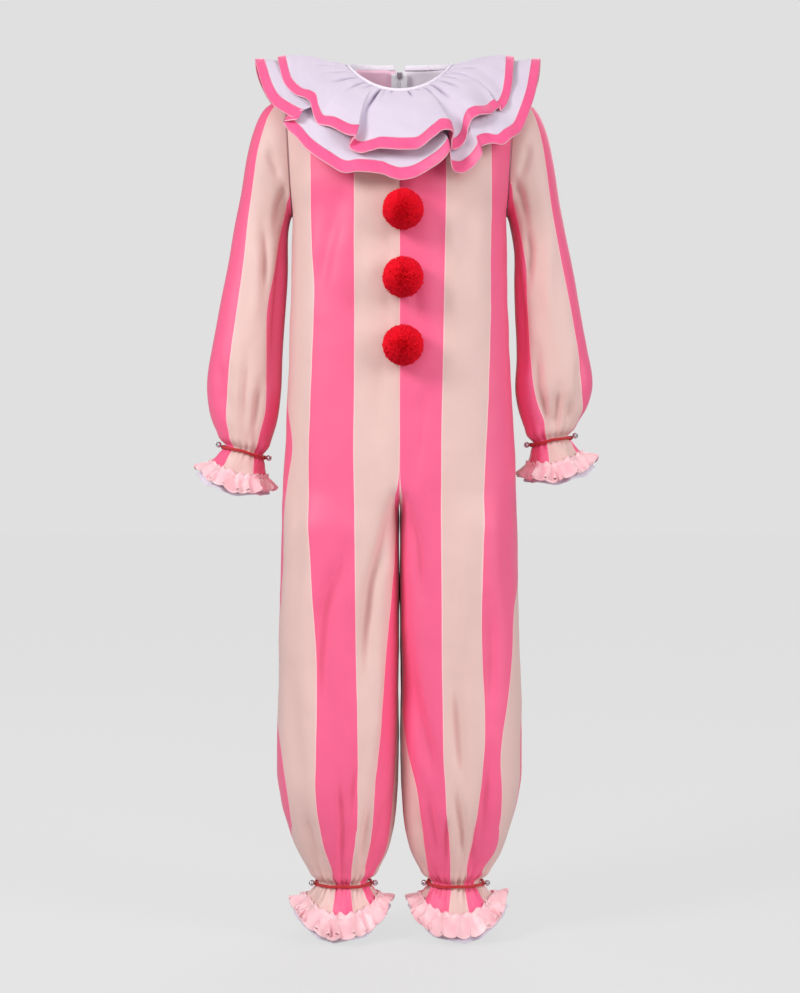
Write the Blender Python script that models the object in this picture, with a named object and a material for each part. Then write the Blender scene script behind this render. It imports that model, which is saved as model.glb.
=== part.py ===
"""A clown jumpsuit in the shape it takes when worn, with nobody in it.

The suit is cut from two fronts, two backs and two sleeves. A two-tier ruff with coloured
bands stands round the neck, cords with jingle bells gather the wrists and ankles, and each
frill ends in a gathered ribbon over a white under-frill. The back opens with a zip.
Lengths are in millimetres and become metres in finish. X is to the wearer's left, the
front faces -Y, and the origin is between the shoulders, level with the sides of the neck.
"""

import math

import bmesh
import bpy
from mathutils import Vector

TO_METRES = 0.001
SEAM_INSET = 0.3
CLOTH = 1.5
RUFF_CLOTH = 1.2
RIBBON_CLOTH = 1.0

# Body levels. side and inner are the distances of a half's outer and inner edge from the
# middle plane, front and back are depths, leg is 0 on the trunk and 1 on a leg, and square
# rounds the inner corners of a leg, 2 being an ellipse.
#    z        side   inner  front  back   leg   square
BODY_LEVELS = (
    (-222.0, 160.0, 0.0, 117.0, 106.0, 0.0, 4.5),
    (-300.0, 161.0, 0.0, 120.0, 104.0, 0.0, 4.5),
    (-430.0, 165.0, 0.0, 118.0, 104.0, 0.0, 4.5),
    (-560.0, 171.0, 0.0, 118.0, 112.0, 0.0, 4.5),
    (-625.0, 174.0, 0.0, 117.0, 115.0, 0.0, 4.5),
    (-665.0, 175.5, 0.2, 115.0, 116.0, 0.5, 4.3),
    (-705.0, 177.0, 0.5, 113.0, 115.0, 1.0, 4.1),
    (-820.0, 178.5, 0.8, 108.0, 111.0, 1.0, 3.5),
    (-950.0, 181.5, 1.2, 101.0, 106.0, 1.0, 3.0),
    (-1050.0, 183.0, 2.0, 96.0, 100.0, 1.0, 2.6),
    (-1100.0, 177.0, 3.5, 90.0, 94.0, 1.0, 2.4),
    (-1145.0, 164.0, 9.5, 79.0, 82.0, 1.0, 2.2),
    (-1175.0, 153.0, 17.0, 67.0, 69.0, 1.0, 2.1),
    (-1196.0, 142.5, 26.5, 56.0, 57.0, 1.0, 2.0),
    (-1210.0, 134.0, 34.5, 48.0, 48.0, 1.0, 2.0),
)
TRUNK_ROWS = (-300.0, -420.0, -540.0, -556.0, -625.0, -652.0, -678.0, -705.0)
LEG_ROWS = (-830.0, -960.0, -1060.0, -1106.0, -1145.0)
PLEATED_ROWS = (-1175.0, -1196.0, -1210.0)
UNDERARM_Z = -222.0
SIDE_Y = 4.0
TRUNK_SQUARE = 2.8
GUSSET_STEPS = 4
FRONT_STEPS = 7
CREASE = 16.0

# Neck and shoulder points.
NECK_HALF_WIDTH = 79.0
NECK_Y = 8.0
NECK_FRONT = (83.0, -57.0)
NECK_BACK = (54.0, 9.0)
SHOULDER_TIP = (168.0, SIDE_Y, -46.0)
NECK_STEPS = 6
YOKE_ROWS = 5
UNDERARM_GAP = 0.8

# Sleeve rings. inner and outer are a ring's two ends, front and back its depths from y.
#   inner x  inner z  outer x  outer z  front back   y
SLEEVE_TOP = (
    (160.0, -222.0, 168.0, -46.0, 60.0, 66.0, 4.0),
    (161.5, -225.0, 200.0, -62.0, 62.0, 66.0, 4.5),
    (162.6, -229.0, 217.0, -92.0, 60.0, 63.0, 5.0),
    (163.6, -235.0, 230.0, -142.0, 57.0, 60.0, 6.0),
    (165.0, -250.0, 242.0, -212.0, 53.0, 56.0, 8.0),
    (167.0, -304.0, 256.0, -284.0, 52.0, 54.0, 9.0),
    (171.0, -368.0, 268.0, -350.0, 52.0, 54.0, 10.0),
    (175.5, -436.0, 281.5, -420.0, 53.0, 54.0, 10.0),
)
SLEEVE_ENDS = {
    "right": (
        (178.5, -490.0, 289.0, -476.0, 52.0, 53.0, 10.0),
        (184.0, -530.0, 285.0, -518.0, 45.0, 46.0, 10.0),
        (195.0, -564.0, 272.0, -551.0, 36.0, 36.0, 10.0),
    ),
    "left": (
        (174.0, -486.0, 289.5, -474.0, 52.0, 53.0, 10.0),
        (180.0, -520.0, 282.0, -510.0, 45.0, 46.0, 10.0),
        (190.0, -549.0, 265.0, -539.0, 36.0, 36.0, 10.0),
    ),
}
SLEEVE_SQUARE = 2.3
SLEEVE_STEPS = 14

# Cuffs: where each cord ties. out points away from the body along the cord's ring.
CUFFS = {
    "wrist_right": {"centre": (-234.0, 10.0, -577.5), "out": (-0.967, 0.0, 0.256),
                    "half": 28.5, "depth": 28.5, "pleats": 12, "flutes": 6, "waves": 12},
    "wrist_left": {"centre": (227.5, 10.0, -561.0), "out": (0.982, 0.0, 0.187),
                   "half": 26.5, "depth": 26.5, "pleats": 12, "flutes": 6, "waves": 12},
    "ankle_right": {"centre": (-84.0, 0.0, -1222.0), "out": (-1.0, 0.0, 0.0),
                    "half": 37.0, "depth": 36.5, "pleats": 20, "flutes": 8, "waves": 14},
    "ankle_left": {"centre": (84.0, 0.0, -1222.0), "out": (1.0, 0.0, 0.0),
                   "half": 37.0, "depth": 36.5, "pleats": 20, "flutes": 8, "waves": 14},
}
# How far a frill's edge stands out from the cord's ring and drops below it.
FRILL_EDGE = {
    "wrist": {"outer": (28.0, 46.0), "inner": (24.0, 46.0), "front": (28.0, 60.0),
              "back": (24.0, 50.0)},
    "ankle": {"outer": (37.0, 32.0), "inner": (31.0, 32.0), "front": (42.0, 68.0),
              "back": (36.0, 46.0)},
}
CLOTH_ROWS = (0.04, 0.32, 0.62)
RIBBON_ROWS = (0.57, 1.0)
UNDER_ROWS = (0.5, 1.07)
NECK_OF_CUFF = 3.6
FLUTE_HEIGHT = 5.0
PLEAT_HEIGHT = 1.3
RIBBON_WAVE = 2.0

CORD_RADIUS = 2.4
CORD_OUT = PLEAT_HEIGHT + 1.2 + CORD_RADIUS
BELL_RADIUS = 4.4
BELL_BEARINGS = {"bell_outer": 16.0, "bell_inner": 166.0}

POMPOM_RADIUS = 29.5
POMPOM_CORE = 18.0
POMPOM_HEIGHTS = {"pompom_top": -234.5, "pompom_middle": -331.5, "pompom_bottom": -428.5}
POMPOM_X = 5.0

ZIP_END_Z = -560.0
ZIP_HALF_GAP = 5.6
ZIP_TAPE_EDGE = 12.5
SLIDER_HALF_WIDTH = 4.2
SLIDER_LENGTH = 10.0
PULL_LENGTH = 22.0
PULL_HALF_WIDTH = 2.9
PIVOT_OUT = 3.1
EYE_RADIUS = 1.15

# The ruff. side, front and back give how far a tier's hem stands out from the neck seam and
# the height it ends at; lift raises its start; spring rounds its rise from the neck; fullness
# below 1 keeps the hem low round to the sides; seam is where its band begins.
TIERS = {
    "collar_lower": {"side": (134.0, 12.0), "front": (72.0, -195.0), "back": (92.0, -103.0),
                     "lift": 2.4, "spring": 1.5, "fullness": 0.7, "seam": 0.885,
                     "rows": (0.0, 0.28, 0.55, 0.75)},
    "collar_upper": {"side": (106.0, 16.5), "front": (76.0, -152.0), "back": (80.0, -65.0),
                     "lift": 5.2, "spring": 8.0, "fullness": 1.05, "seam": 0.87,
                     "rows": (0.0, 0.33, 0.63)},
}
# Folds of each hem. at is the bearing in degrees, 0 over the left shoulder and 90 in front;
# height lifts the cloth on one side of the fold and sinks it on the other, swing is how far
# it runs past and comes back, spread is its width in degrees.
#    at     height  swing  spread
RUFF_FOLDS = {
    "collar_lower": (
        (-52.0, 9.0, 14.0, 7.0), (40.0, 9.0, 19.0, 6.5), (63.0, 10.0, 19.0, 6.5),
        (104.0, 4.0, 8.0, 8.0), (146.0, -10.0, 21.0, 7.0), (232.0, -9.0, 14.0, 7.0),
    ),
    "collar_upper": (
        (-48.0, 7.0, 12.0, 7.0), (34.0, 7.0, 15.0, 6.5), (63.0, 9.0, 17.0, 7.0),
        (115.0, -9.0, 18.0, 7.0), (137.0, -6.0, 10.0, 6.5), (230.0, -7.0, 12.0, 7.0),
    ),
}
FOLD_COLUMNS = (-2.0, -1.15, -0.75, -0.4, 0.0, 0.4, 0.75, 1.15, 2.0)
WIDEST_COLUMN = 11.0
RUFF_SLIT = 6.5


def interpolate(levels, at):
    """Row of a table at a height, eased so that it has no corners or overshoot."""
    rows = sorted(levels)
    if at <= rows[0][0]:
        return rows[0][1:]
    if at >= rows[-1][0]:
        return rows[-1][1:]
    index = next(i for i in range(1, len(rows)) if rows[i][0] >= at)

    def slope(i, column):
        if i == 0 or i == len(rows) - 1:
            return 0.0
        before = (rows[i][column] - rows[i - 1][column]) / (rows[i][0] - rows[i - 1][0])
        after = (rows[i + 1][column] - rows[i][column]) / (rows[i + 1][0] - rows[i][0])
        return 2 * before * after / (before + after) if before * after > 0 else 0.0

    low, high = rows[index - 1], rows[index]
    span = high[0] - low[0]
    t = (at - low[0]) / span
    values = []
    for column in range(1, len(low)):
        rise = 3 * t * t - 2 * t ** 3
        values.append(low[column] * (1 - rise) + high[column] * rise
                      + slope(index - 1, column) * span * (t - 2 * t * t + t ** 3)
                      + slope(index, column) * span * (t ** 3 - t * t))
    return values


def resample(points, steps):
    """Points at equal distances along a line."""
    lengths = [0.0]
    for before, after in zip(points, points[1:]):
        lengths.append(lengths[-1] + (after - before).length)
    result, index = [], 0
    for step in range(steps + 1):
        target = lengths[-1] * step / steps
        while index < len(points) - 2 and lengths[index + 1] < target:
            index += 1
        span = lengths[index + 1] - lengths[index]
        share = min(1.0, (target - lengths[index]) / span) if span else 0.0
        result.append(points[index].lerp(points[index + 1], share))
    return result


def quarter(start, end, centre, square, first=0.0, last=90.0, count=24):
    """Quarter of a rounded rectangle from start to end about a centre."""
    points = []
    for step in range(count + 1):
        angle = math.radians(first + (last - first) * step / count)
        toward_start = max(0.0, math.cos(angle)) ** (2 / square)
        toward_end = max(0.0, math.sin(angle)) ** (2 / square)
        points.append(centre + (start - centre) * toward_start + (end - centre) * toward_end)
    return points


def body_row(z, half, steps=None):
    """Row of the left front or back at a height, from its inner edge to the side seam."""
    side, inner, front, back, leg, square = interpolate(BODY_LEVELS, z)
    depth = -front if half == "front" else back
    side_point = Vector((side, SIDE_Y, z))
    trunk = quarter(Vector((0.0, depth, z)), side_point, Vector((0.0, SIDE_Y, z)), TRUNK_SQUARE)
    middle = (side + inner) / 2
    centre = Vector((middle, SIDE_Y * 0.5, z))
    apex = Vector((middle, depth, z))
    inseam = Vector((inner, SIDE_Y * 0.5, z))
    wall = quarter(inseam, apex, centre, square, 0.0, 50.0)
    outer_square = square if square < TRUNK_SQUARE else TRUNK_SQUARE
    across = quarter(inseam, apex, centre, square, 50.0, 90.0) + quarter(
        apex, side_point, Vector((middle, SIDE_Y, z)), outer_square)[1:]
    if steps:
        return resample(wall + across[1:], steps)
    crease = resample(trunk, 60)
    cut = next(i for i, point in enumerate(crease) if point.x >= CREASE)
    trunk_row = resample(crease[:cut + 1], GUSSET_STEPS) + resample(crease[cut:], FRONT_STEPS)[1:]
    leg_row = resample(wall, GUSSET_STEPS) + resample(across, FRONT_STEPS)[1:]
    share = leg * leg * (3 - 2 * leg)
    return [a.lerp(b, share) for a, b in zip(trunk_row, leg_row)]


def neck_point(bearing):
    """Neck seam at a bearing, 0 over the left shoulder and 90 in front."""
    c, s = math.cos(math.radians(bearing)), math.sin(math.radians(bearing))
    depth, height = NECK_FRONT if s > 0 else NECK_BACK
    z = height * abs(s) ** (1.5 if s > 0 else 1.0)
    return Vector((NECK_HALF_WIDTH * c, NECK_Y - depth * s, z))


def sleeve_ring(ring, bearing):
    """Point of a sleeve ring, 0 at its outer end and 90 in front."""
    inner_x, inner_z, outer_x, outer_z, front, back, y = ring
    c, s = math.cos(math.radians(bearing)), math.sin(math.radians(bearing))
    outer, inner = Vector((outer_x, y, outer_z)), Vector((inner_x, y, inner_z))
    along = math.copysign(abs(c) ** (2 / SLEEVE_SQUARE), c)
    depth = math.copysign(abs(s) ** (2 / SLEEVE_SQUARE), s)
    return ((outer + inner) / 2 + (outer - inner) / 2 * along
            - Vector((0.0, front if s > 0 else back, 0.0)) * depth)


def smooth(t):
    t = min(1.0, max(0.0, t))
    return t * t * (3 - 2 * t)


def armhole(half):
    """Armhole seam from the shoulder tip to the underarm."""
    toward = 1.0 if half == "front" else -1.0
    return resample([sleeve_ring(SLEEVE_TOP[0], toward * 180 * i / 40) for i in range(41)],
                    YOKE_ROWS)


def yoke_rows(half):
    """Rows from the neck and shoulder down to the underarm, filled in from their edges."""
    toward = 1.0 if half == "front" else -1.0
    neck = [neck_point(toward * 90 * (1 - i / NECK_STEPS)) for i in range(NECK_STEPS + 1)]
    steps = GUSSET_STEPS + FRONT_STEPS
    shoulder = resample([neck[-1], Vector(SHOULDER_TIP)], steps - NECK_STEPS)
    top = neck + shoulder[1:]
    top[0].x = 0.0
    bottom = body_row(UNDERARM_Z, half)
    edge = armhole(half)
    middle = resample(centre_line(half), YOKE_ROWS)
    rows = []
    for r in range(YOKE_ROWS + 1):
        v = r / YOKE_ROWS
        row = []
        for c in range(steps + 1):
            u = c / steps
            ruled = top[c] * (1 - v) + bottom[c] * v + middle[r] * (1 - u) + edge[r] * u
            corners = ((top[0] * (1 - u) + top[-1] * u) * (1 - v)
                       + (bottom[0] * (1 - u) + bottom[-1] * u) * v)
            row.append(ruled - corners)
        rows.append(row)
    return rows


def centre_line(half):
    """Centre seam from the neck down to the underarm level."""
    top = neck_point(90.0 if half == "front" else -90.0)
    bottom = body_row(UNDERARM_Z, half)[0]
    top.x = 0.0
    return [Vector((0.0, top.y + (bottom.y - top.y) * math.sin(math.pi / 2 * t) ** 0.85,
                    top.z + (bottom.z - top.z) * t)) for t in (i / 20 for i in range(21))]


def cuff_axes(cuff):
    """Centre, outward and forward directions and the way down the limb."""
    out = Vector(cuff["out"]).normalized()
    forward = Vector((0.0, -1.0, 0.0))
    down = Vector((-abs(out.z) if out.x < 0 else abs(out.z), 0.0, -abs(out.x)))
    return Vector(cuff["centre"]), out, forward, down.normalized()


def frill_point(name, bearing, share, offset=0.0, pleat=0.0):
    """Point of a frill, share 0 at the cord and 1 at the edge, moved out by an offset."""
    cuff = CUFFS[name]
    centre, out, forward, down = cuff_axes(cuff)
    c, s = math.cos(math.radians(bearing)), math.sin(math.radians(bearing))
    edge = FRILL_EDGE[name.split("_")[0]]
    end = edge["front"] if s > 0 else edge["back"]
    side = edge["outer"] if c > 0 else edge["inner"]
    reach = side[0] * c * c + end[0] * s * s
    drop = side[1] * c * c + end[1] * s * s
    flute = FLUTE_HEIGHT * share * math.sin(math.radians(cuff["flutes"] * bearing + 40.0))
    away = (out * c * cuff["half"] + forward * s * cuff["depth"])
    level = away.normalized()
    slope = (level * drop - down * reach).normalized()
    lean = level.lerp(slope, min(1.0, share * 1.4)).normalized()
    if share <= 0.0:
        return centre + away + level * (pleat + offset) - down * NECK_OF_CUFF
    return (centre + away + level * (reach * share ** 1.35 + pleat) + down * drop * share
            + lean * (flute + offset))


def zigzag(index, height):
    return height if index % 2 == 0 else -height


def ankle_rows(half):
    """Rows of a leg from the first gathers to the end of the cloth below the cord."""
    name = "ankle_left"
    steps = CUFFS[name]["pleats"]
    heights = (0.3, 1.3, 1.9)
    rows = []
    for z, height in zip(PLEATED_ROWS, heights):
        row = body_row(z, half, steps)
        middle = Vector(((row[0].x + row[-1].x) / 2, SIDE_Y * 0.5, z))
        rows.append([p + (p - middle).normalized() * zigzag(i, height)
                     for i, p in enumerate(row)])
    toward = 1.0 if half == "front" else -1.0
    bearings = [toward * (180.0 - 180.0 * i / steps) for i in range(steps + 1)]
    for share in (0.0,) + CLOTH_ROWS:
        height = PLEAT_HEIGHT * max(0.0, 1 - share * 1.5)
        rows.append([frill_point(name, b, share, 0.0, zigzag(i, height))
                     for i, b in enumerate(bearings)])
    return rows


def body_rows(side, half):
    rows = yoke_rows(half)
    rows += [body_row(z, half) for z in TRUNK_ROWS + LEG_ROWS]
    rows += ankle_rows(half)
    if half == "back":
        for row in rows:
            if row[0].z > ZIP_END_Z + 10:
                steps = GUSSET_STEPS if row[1].x < ZIP_HALF_GAP * 2 else 1
                for i in range(steps):
                    row[i].x = ZIP_HALF_GAP + (row[steps].x - ZIP_HALF_GAP) * i / steps
    if side == "right":
        rows = [[Vector((-p.x, p.y, p.z)) for p in row] for row in rows]
    return rows


def sleeve_rows(side):
    mirror = -1.0 if side == "right" else 1.0
    front, back = armhole("front"), armhole("back")
    rows = [[p + Vector((UNDERARM_GAP * smooth((-p.z - 110.0) / 60.0), 0.0, 0.0))
             for p in front + back[-2:0:-1]]]
    for ring in SLEEVE_TOP[1:] + SLEEVE_ENDS[side][:1]:
        rows.append([sleeve_ring(ring, 360.0 * i / SLEEVE_STEPS) for i in range(SLEEVE_STEPS)])
    steps = 2 * CUFFS["wrist_" + side]["pleats"]
    for ring, height in zip(SLEEVE_ENDS[side][1:], (0.5, 1.6)):
        row = [sleeve_ring(ring, 360.0 * i / steps) for i in range(steps)]
        middle = sum(row, Vector()) / len(row)
        rows.append([p + (p - middle).normalized() * zigzag(i, height)
                     for i, p in enumerate(row)])
    rows = [[Vector((p.x * mirror, p.y, p.z)) for p in row] for row in rows]
    for share in (0.0,) + CLOTH_ROWS:
        height = PLEAT_HEIGHT * max(0.0, 1 - share * 1.5)
        rows.append([frill_point("wrist_" + side, 360.0 * i / steps, share, 0.0,
                                 zigzag(i, height)) for i in range(steps)])
    return rows


def fold_shape(x):
    """Rises before a fold, falls after it and fades away from it."""
    return -math.sqrt(2 * math.e) * x * math.exp(-x * x)


def ruff_point(name, bearing, share):
    """Point of a ruff tier, share 0 at the neck seam and 1 at the hem."""
    tier = TIERS[name]
    fade = share * share
    swing = lift = 0.0
    for at, height, run, spread in RUFF_FOLDS[name]:
        shape = fold_shape((bearing - at) / spread)
        swing += run * shape
        lift += height * shape
    radius = NECK_HALF_WIDTH + tier["side"][0] * share
    turned = bearing + math.degrees(swing * fade / radius)
    c, s = math.cos(math.radians(turned)), math.sin(math.radians(turned))
    end = tier["front"] if s > 0 else tier["back"]
    reach = tier["side"][0] + (end[0] - tier["side"][0]) * s * s
    height = tier["side"][1] + (end[1] - tier["side"][1]) * abs(s) ** tier["fullness"]
    start = neck_point(turned)
    fall = start.z - height
    up = Vector((0.0, 0.0, 1.0))
    away = Vector((c, -s, 0.0))
    normal = (away * fall + up * reach).normalized()
    return (start + away * (0.8 + reach * share ** 0.9)
            + up * (tier["lift"] - (fall + tier["lift"]) * share ** 1.2
                    + tier["spring"] * 4 * share * (1 - share))
            + normal * lift * fade)


def ruff_bearings(name):
    """Columns crowd into the folds and thin out between them."""
    marks = {-90.0, 270.0}
    for at, _, _, spread in RUFF_FOLDS[name]:
        marks.update(at + spread * column for column in FOLD_COLUMNS)
    marks = [mark for mark in sorted(marks) if -90.0 <= mark <= 270.0]
    kept = [marks[0]]
    for mark in marks[1:]:
        if mark - kept[-1] < 1.6 and mark != 270.0:
            continue
        gaps = math.ceil((mark - kept[-1]) / WIDEST_COLUMN)
        first = kept[-1]
        kept.extend(first + (mark - first) * i / gaps for i in range(1, gaps + 1))
    return kept


def ruff_row(name, share):
    back_radius = NECK_BACK[0] + TIERS[name]["back"][0] * share
    margin = math.degrees(math.asin(RUFF_SLIT / back_radius))
    squeeze = (360.0 - 2 * margin) / 360.0
    return [ruff_point(name, 90.0 + (bearing - 90.0) * squeeze, share)
            for bearing in ruff_bearings(name)]


def shares(row, ring):
    lengths = [0.0]
    closed = row + row[:1] if ring else row
    for before, after in zip(closed, closed[1:]):
        lengths.append(lengths[-1] + (after - before).length)
    return [length / lengths[-1] for length in lengths]


def stitch(rows, ring=False):
    """Points and triangles of a surface from rows that may differ in length."""
    points, faces, previous = [], [], None
    for row in rows:
        indices = list(range(len(points), len(points) + len(row)))
        points.extend(row)
        marks = shares(row, ring)
        if ring:
            indices.append(indices[0])
        if previous:
            upper, upper_marks = previous
            marks_now = marks
            if len(upper) == len(indices):
                upper_marks = marks_now = [float(i) for i in range(len(indices))]
            i = j = 0
            while i < len(upper) - 1 or j < len(indices) - 1:
                if j == len(indices) - 1 or (
                        i < len(upper) - 1 and upper_marks[i + 1] <= marks_now[j + 1]):
                    faces.append((upper[i], upper[i + 1], indices[j]))
                    i += 1
                else:
                    faces.append((upper[i], indices[j + 1], indices[j]))
                    j += 1
        previous = (indices, marks)
    centres = [sum(row, Vector()) / len(row) for row in rows for _ in row]
    lean = 0.0
    for a, b, c in faces:
        normal = (points[b] - points[a]).cross(points[c] - points[a])
        lean += normal.dot(points[a] - centres[a])
    if lean < 0:
        faces = [(a, c, b) for a, b, c in faces]
    return points, faces


def key(point):
    return tuple(round(value, 2) for value in point)


def shared_normals(surfaces):
    """Normals that pieces sewn edge to edge have in common."""
    sums = {}
    for points, faces in surfaces:
        for a, b, c in faces:
            normal = (points[b] - points[a]).cross(points[c] - points[a])
            for index in (a, b, c):
                spot = key(points[index])
                sums[spot] = sums.get(spot, Vector()) + normal
    return {spot: normal.normalized() for spot, normal in sums.items()}


def cloth(name, surface, normals, thickness, keep_side=None):
    """Give a surface its thickness on the inside and close its edges."""
    points, faces = surface
    edges = {}
    for face in faces:
        for a, b in zip(face, face[1:] + face[:1]):
            edges[(a, b)] = edges.get((a, b), 0) + 1
    rim = [(a, b) for a, b in edges if (b, a) not in edges]
    on_rim = {index for edge in rim for index in edge}
    pull = {index: Vector() for index in on_rim}
    inland = {a for a, b in edges if a in on_rim and b not in on_rim}
    inland |= {b for a, b in edges if b in on_rim and a not in on_rim}
    for a, b in edges:
        for here, there in ((a, b), (b, a)):
            if here in on_rim and (there not in on_rim or here not in inland):
                pull[here] += (points[there] - points[here]).normalized()
    outer, inner = [], []
    for index, point in enumerate(points):
        normal = normals[key(point)]
        shift = Vector()
        if index in on_rim and pull[index].length:
            along = pull[index] - normal * pull[index].dot(normal)
            shift = along.normalized() * SEAM_INSET
        outer.append(point + shift)
        inner.append(point + shift - normal * thickness)
    vertices = outer + inner
    if keep_side:
        for vertex in vertices:
            if vertex.x * keep_side < SEAM_INSET:
                vertex.x = SEAM_INSET * keep_side
    count = len(points)
    solid = list(faces) + [(c + count, b + count, a + count) for a, b, c in faces]
    for a, b in rim:
        solid.append((b, a, a + count))
        solid.append((b, a + count, b + count))
    finish(name, vertices, solid)


def finish(name, vertices, faces):
    mesh = bpy.data.meshes.new(name)
    mesh.from_pydata([vertex * TO_METRES for vertex in vertices], [], faces)
    work = bmesh.new()
    work.from_mesh(mesh)
    bmesh.ops.recalc_face_normals(work, faces=work.faces)
    work.to_mesh(mesh)
    work.free()
    bpy.context.scene.collection.objects.link(bpy.data.objects.new(name, mesh))


def tube(name, centres, frames, section):
    """Closed ring that carries a section round a closed line."""
    count, sides = len(centres), len(section)
    vertices = [centre + across * x + up * y
                for centre, (across, up) in zip(centres, frames) for x, y in section]
    faces = []
    for i in range(count):
        for j in range(sides):
            a, b = i * sides + j, i * sides + (j + 1) % sides
            c, d = (i + 1) % count * sides + (j + 1) % sides, (i + 1) % count * sides + j
            faces.extend(((a, b, c), (a, c, d)))
    finish(name, vertices, faces)


def make_body_and_sleeves():
    surfaces = {}
    for side in ("left", "right"):
        for half in ("front", "back"):
            surfaces[half + "_" + side] = stitch(body_rows(side, half))
        surfaces["sleeve_" + side] = stitch(sleeve_rows(side), ring=True)
    body = shared_normals(s for name, s in surfaces.items() if not name.startswith("sleeve"))
    for side, sign in (("left", 1.0), ("right", -1.0)):
        sleeve = shared_normals([surfaces["sleeve_" + side]])
        for spot in [spot for spot in sleeve if spot in body]:
            if sleeve[spot].dot(body[spot]) > 0.2:
                sleeve[spot] = body[spot] = (sleeve[spot] + body[spot]).normalized()
        cloth("sleeve_" + side, surfaces["sleeve_" + side], sleeve, CLOTH)
    for name, surface in surfaces.items():
        if not name.startswith("sleeve"):
            cloth(name, surface, body, CLOTH, 1.0 if name.endswith("left") else -1.0)


def make_ruff():
    for name, tier in TIERS.items():
        rows = [ruff_row(name, share) for share in tier["rows"] + (tier["seam"], 1.0)]
        cloth_part, band_part = stitch(rows[:-1]), stitch(rows[-2:])
        normals = shared_normals([cloth_part, band_part])
        cloth(name, cloth_part, normals, RUFF_CLOTH)
        cloth(name + "_band", band_part, normals, RUFF_CLOTH)
    count = 40
    bearings = [-84.0 + 348.0 * i / count for i in range(count + 1)]
    rows = []
    for inward, height in ((0.2, 1.8), (0.2, 7.0)):
        rows.append([neck_point(b) + Vector((-math.cos(math.radians(b)) * inward,
                                             math.sin(math.radians(b)) * inward, height))
                     for b in bearings])
    surface = stitch(rows)
    cloth("neck_binding", surface, shared_normals([surface]), CLOTH)


def make_cuffs():
    for name, cuff in CUFFS.items():
        centre, out, forward, down = cuff_axes(cuff)
        count = cuff["waves"] * 4
        rows = []
        for share in RIBBON_ROWS:
            height = RIBBON_WAVE * (0.5 + (share - RIBBON_ROWS[0]) * 1.6)
            lift = RIBBON_CLOTH + 0.5 + 3.0 * (share - RIBBON_ROWS[0])
            rows.append([frill_point(name, 360.0 * i / count, share, lift + height
                                     * (1 + math.sin(math.pi / 4 + math.pi / 2 * i)))
                         for i in range(count)])
        surface = stitch(rows, ring=True)
        cloth(name + "_ribbon", surface, shared_normals([surface]), RIBBON_CLOTH)
        count = cuff["flutes"] * 4
        rows = [[frill_point(name, 360.0 * i / count, share, -CLOTH - 1.6)
                 for i in range(count)] for share in UNDER_ROWS]
        surface = stitch(rows, ring=True)
        cloth(name + "_under_frill", surface, shared_normals([surface]), RIBBON_CLOTH)
        steps = 24
        centres, frames = [], []
        for i in range(steps):
            c, s = math.cos(math.tau * i / steps), math.sin(math.tau * i / steps)
            away = out * c * cuff["half"] + forward * s * cuff["depth"]
            centres.append(centre + away + away.normalized() * CORD_OUT)
            frames.append((away.normalized(), down))
        section = [(CORD_RADIUS * math.cos(math.tau * k / 6),
                    CORD_RADIUS * math.sin(math.tau * k / 6)) for k in range(6)]
        tube(name + "_cord", centres, frames, section)
        for bell, bearing in BELL_BEARINGS.items():
            c, s = math.cos(math.radians(bearing)), math.sin(math.radians(bearing))
            away = out * c * cuff["half"] + forward * s * cuff["depth"]
            make_bell(name + "_" + bell, centre + away + away.normalized()
                      * (CORD_OUT + CORD_RADIUS + BELL_RADIUS + 0.1) - down * 1.0, down)


def make_bell(name, centre, down):
    """Jingle bell turned about its hanging axis, with a loop knob and a middle rim."""
    across = Vector((0.0, 1.0, 0.0))
    other = down.cross(across).normalized()
    profile = ((-1.4, 0.2), (-1.0, 0.24), (-0.82, 0.56), (-0.1, 1.0), (0.1, 1.0), (0.85, 0.5))
    sides = 8
    vertices = [centre + down * along * BELL_RADIUS
                + (across * math.cos(math.tau * k / sides) + other * math.sin(math.tau * k / sides))
                * radius * BELL_RADIUS for along, radius in profile for k in range(sides)]
    faces = []
    for i in range(len(profile) - 1):
        for k in range(sides):
            a, b = i * sides + k, i * sides + (k + 1) % sides
            faces.extend(((a, b, b + sides), (a, b + sides, a + sides)))
    last = (len(profile) - 1) * sides
    for k in range(1, sides - 1):
        faces.append((0, k, k + 1))
        faces.append((last, last + k, last + k + 1))
    finish(name, vertices, faces)


def make_pompoms():
    """Fur balls: eighty three-sided locks fused into a round core, flat against the cloth."""
    for name, height in POMPOM_HEIGHTS.items():
        work = bmesh.new()
        bmesh.ops.create_icosphere(work, subdivisions=2, radius=POMPOM_CORE)
        bases = {v: v.co.copy() for v in work.verts}
        poked = bmesh.ops.poke(work, faces=work.faces[:])
        for vertex in poked["verts"]:
            vertex.co = vertex.co.normalized() * POMPOM_RADIUS
        for vertex, place in bases.items():
            vertex.co = place.normalized() * POMPOM_CORE
        chest = interpolate(BODY_LEVELS, height)[2]
        for vertex in work.verts:
            vertex.co += Vector((POMPOM_X, -chest - POMPOM_RADIUS * 0.72, height))
            wall = -interpolate(BODY_LEVELS, vertex.co.z)[2] - 0.35
            if vertex.co.y > wall - 1.0:
                depth = vertex.co.y - wall
                vertex.co.y = wall - 0.8 / (2.0 + max(0.0, depth))
        bmesh.ops.triangulate(work, faces=work.faces[:])
        vertices = [v.co.copy() for v in work.verts]
        index = {v: i for i, v in enumerate(work.verts)}
        faces = [tuple(index[v] for v in face.verts) for face in work.faces]
        work.free()
        finish(name, vertices, faces)


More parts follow.
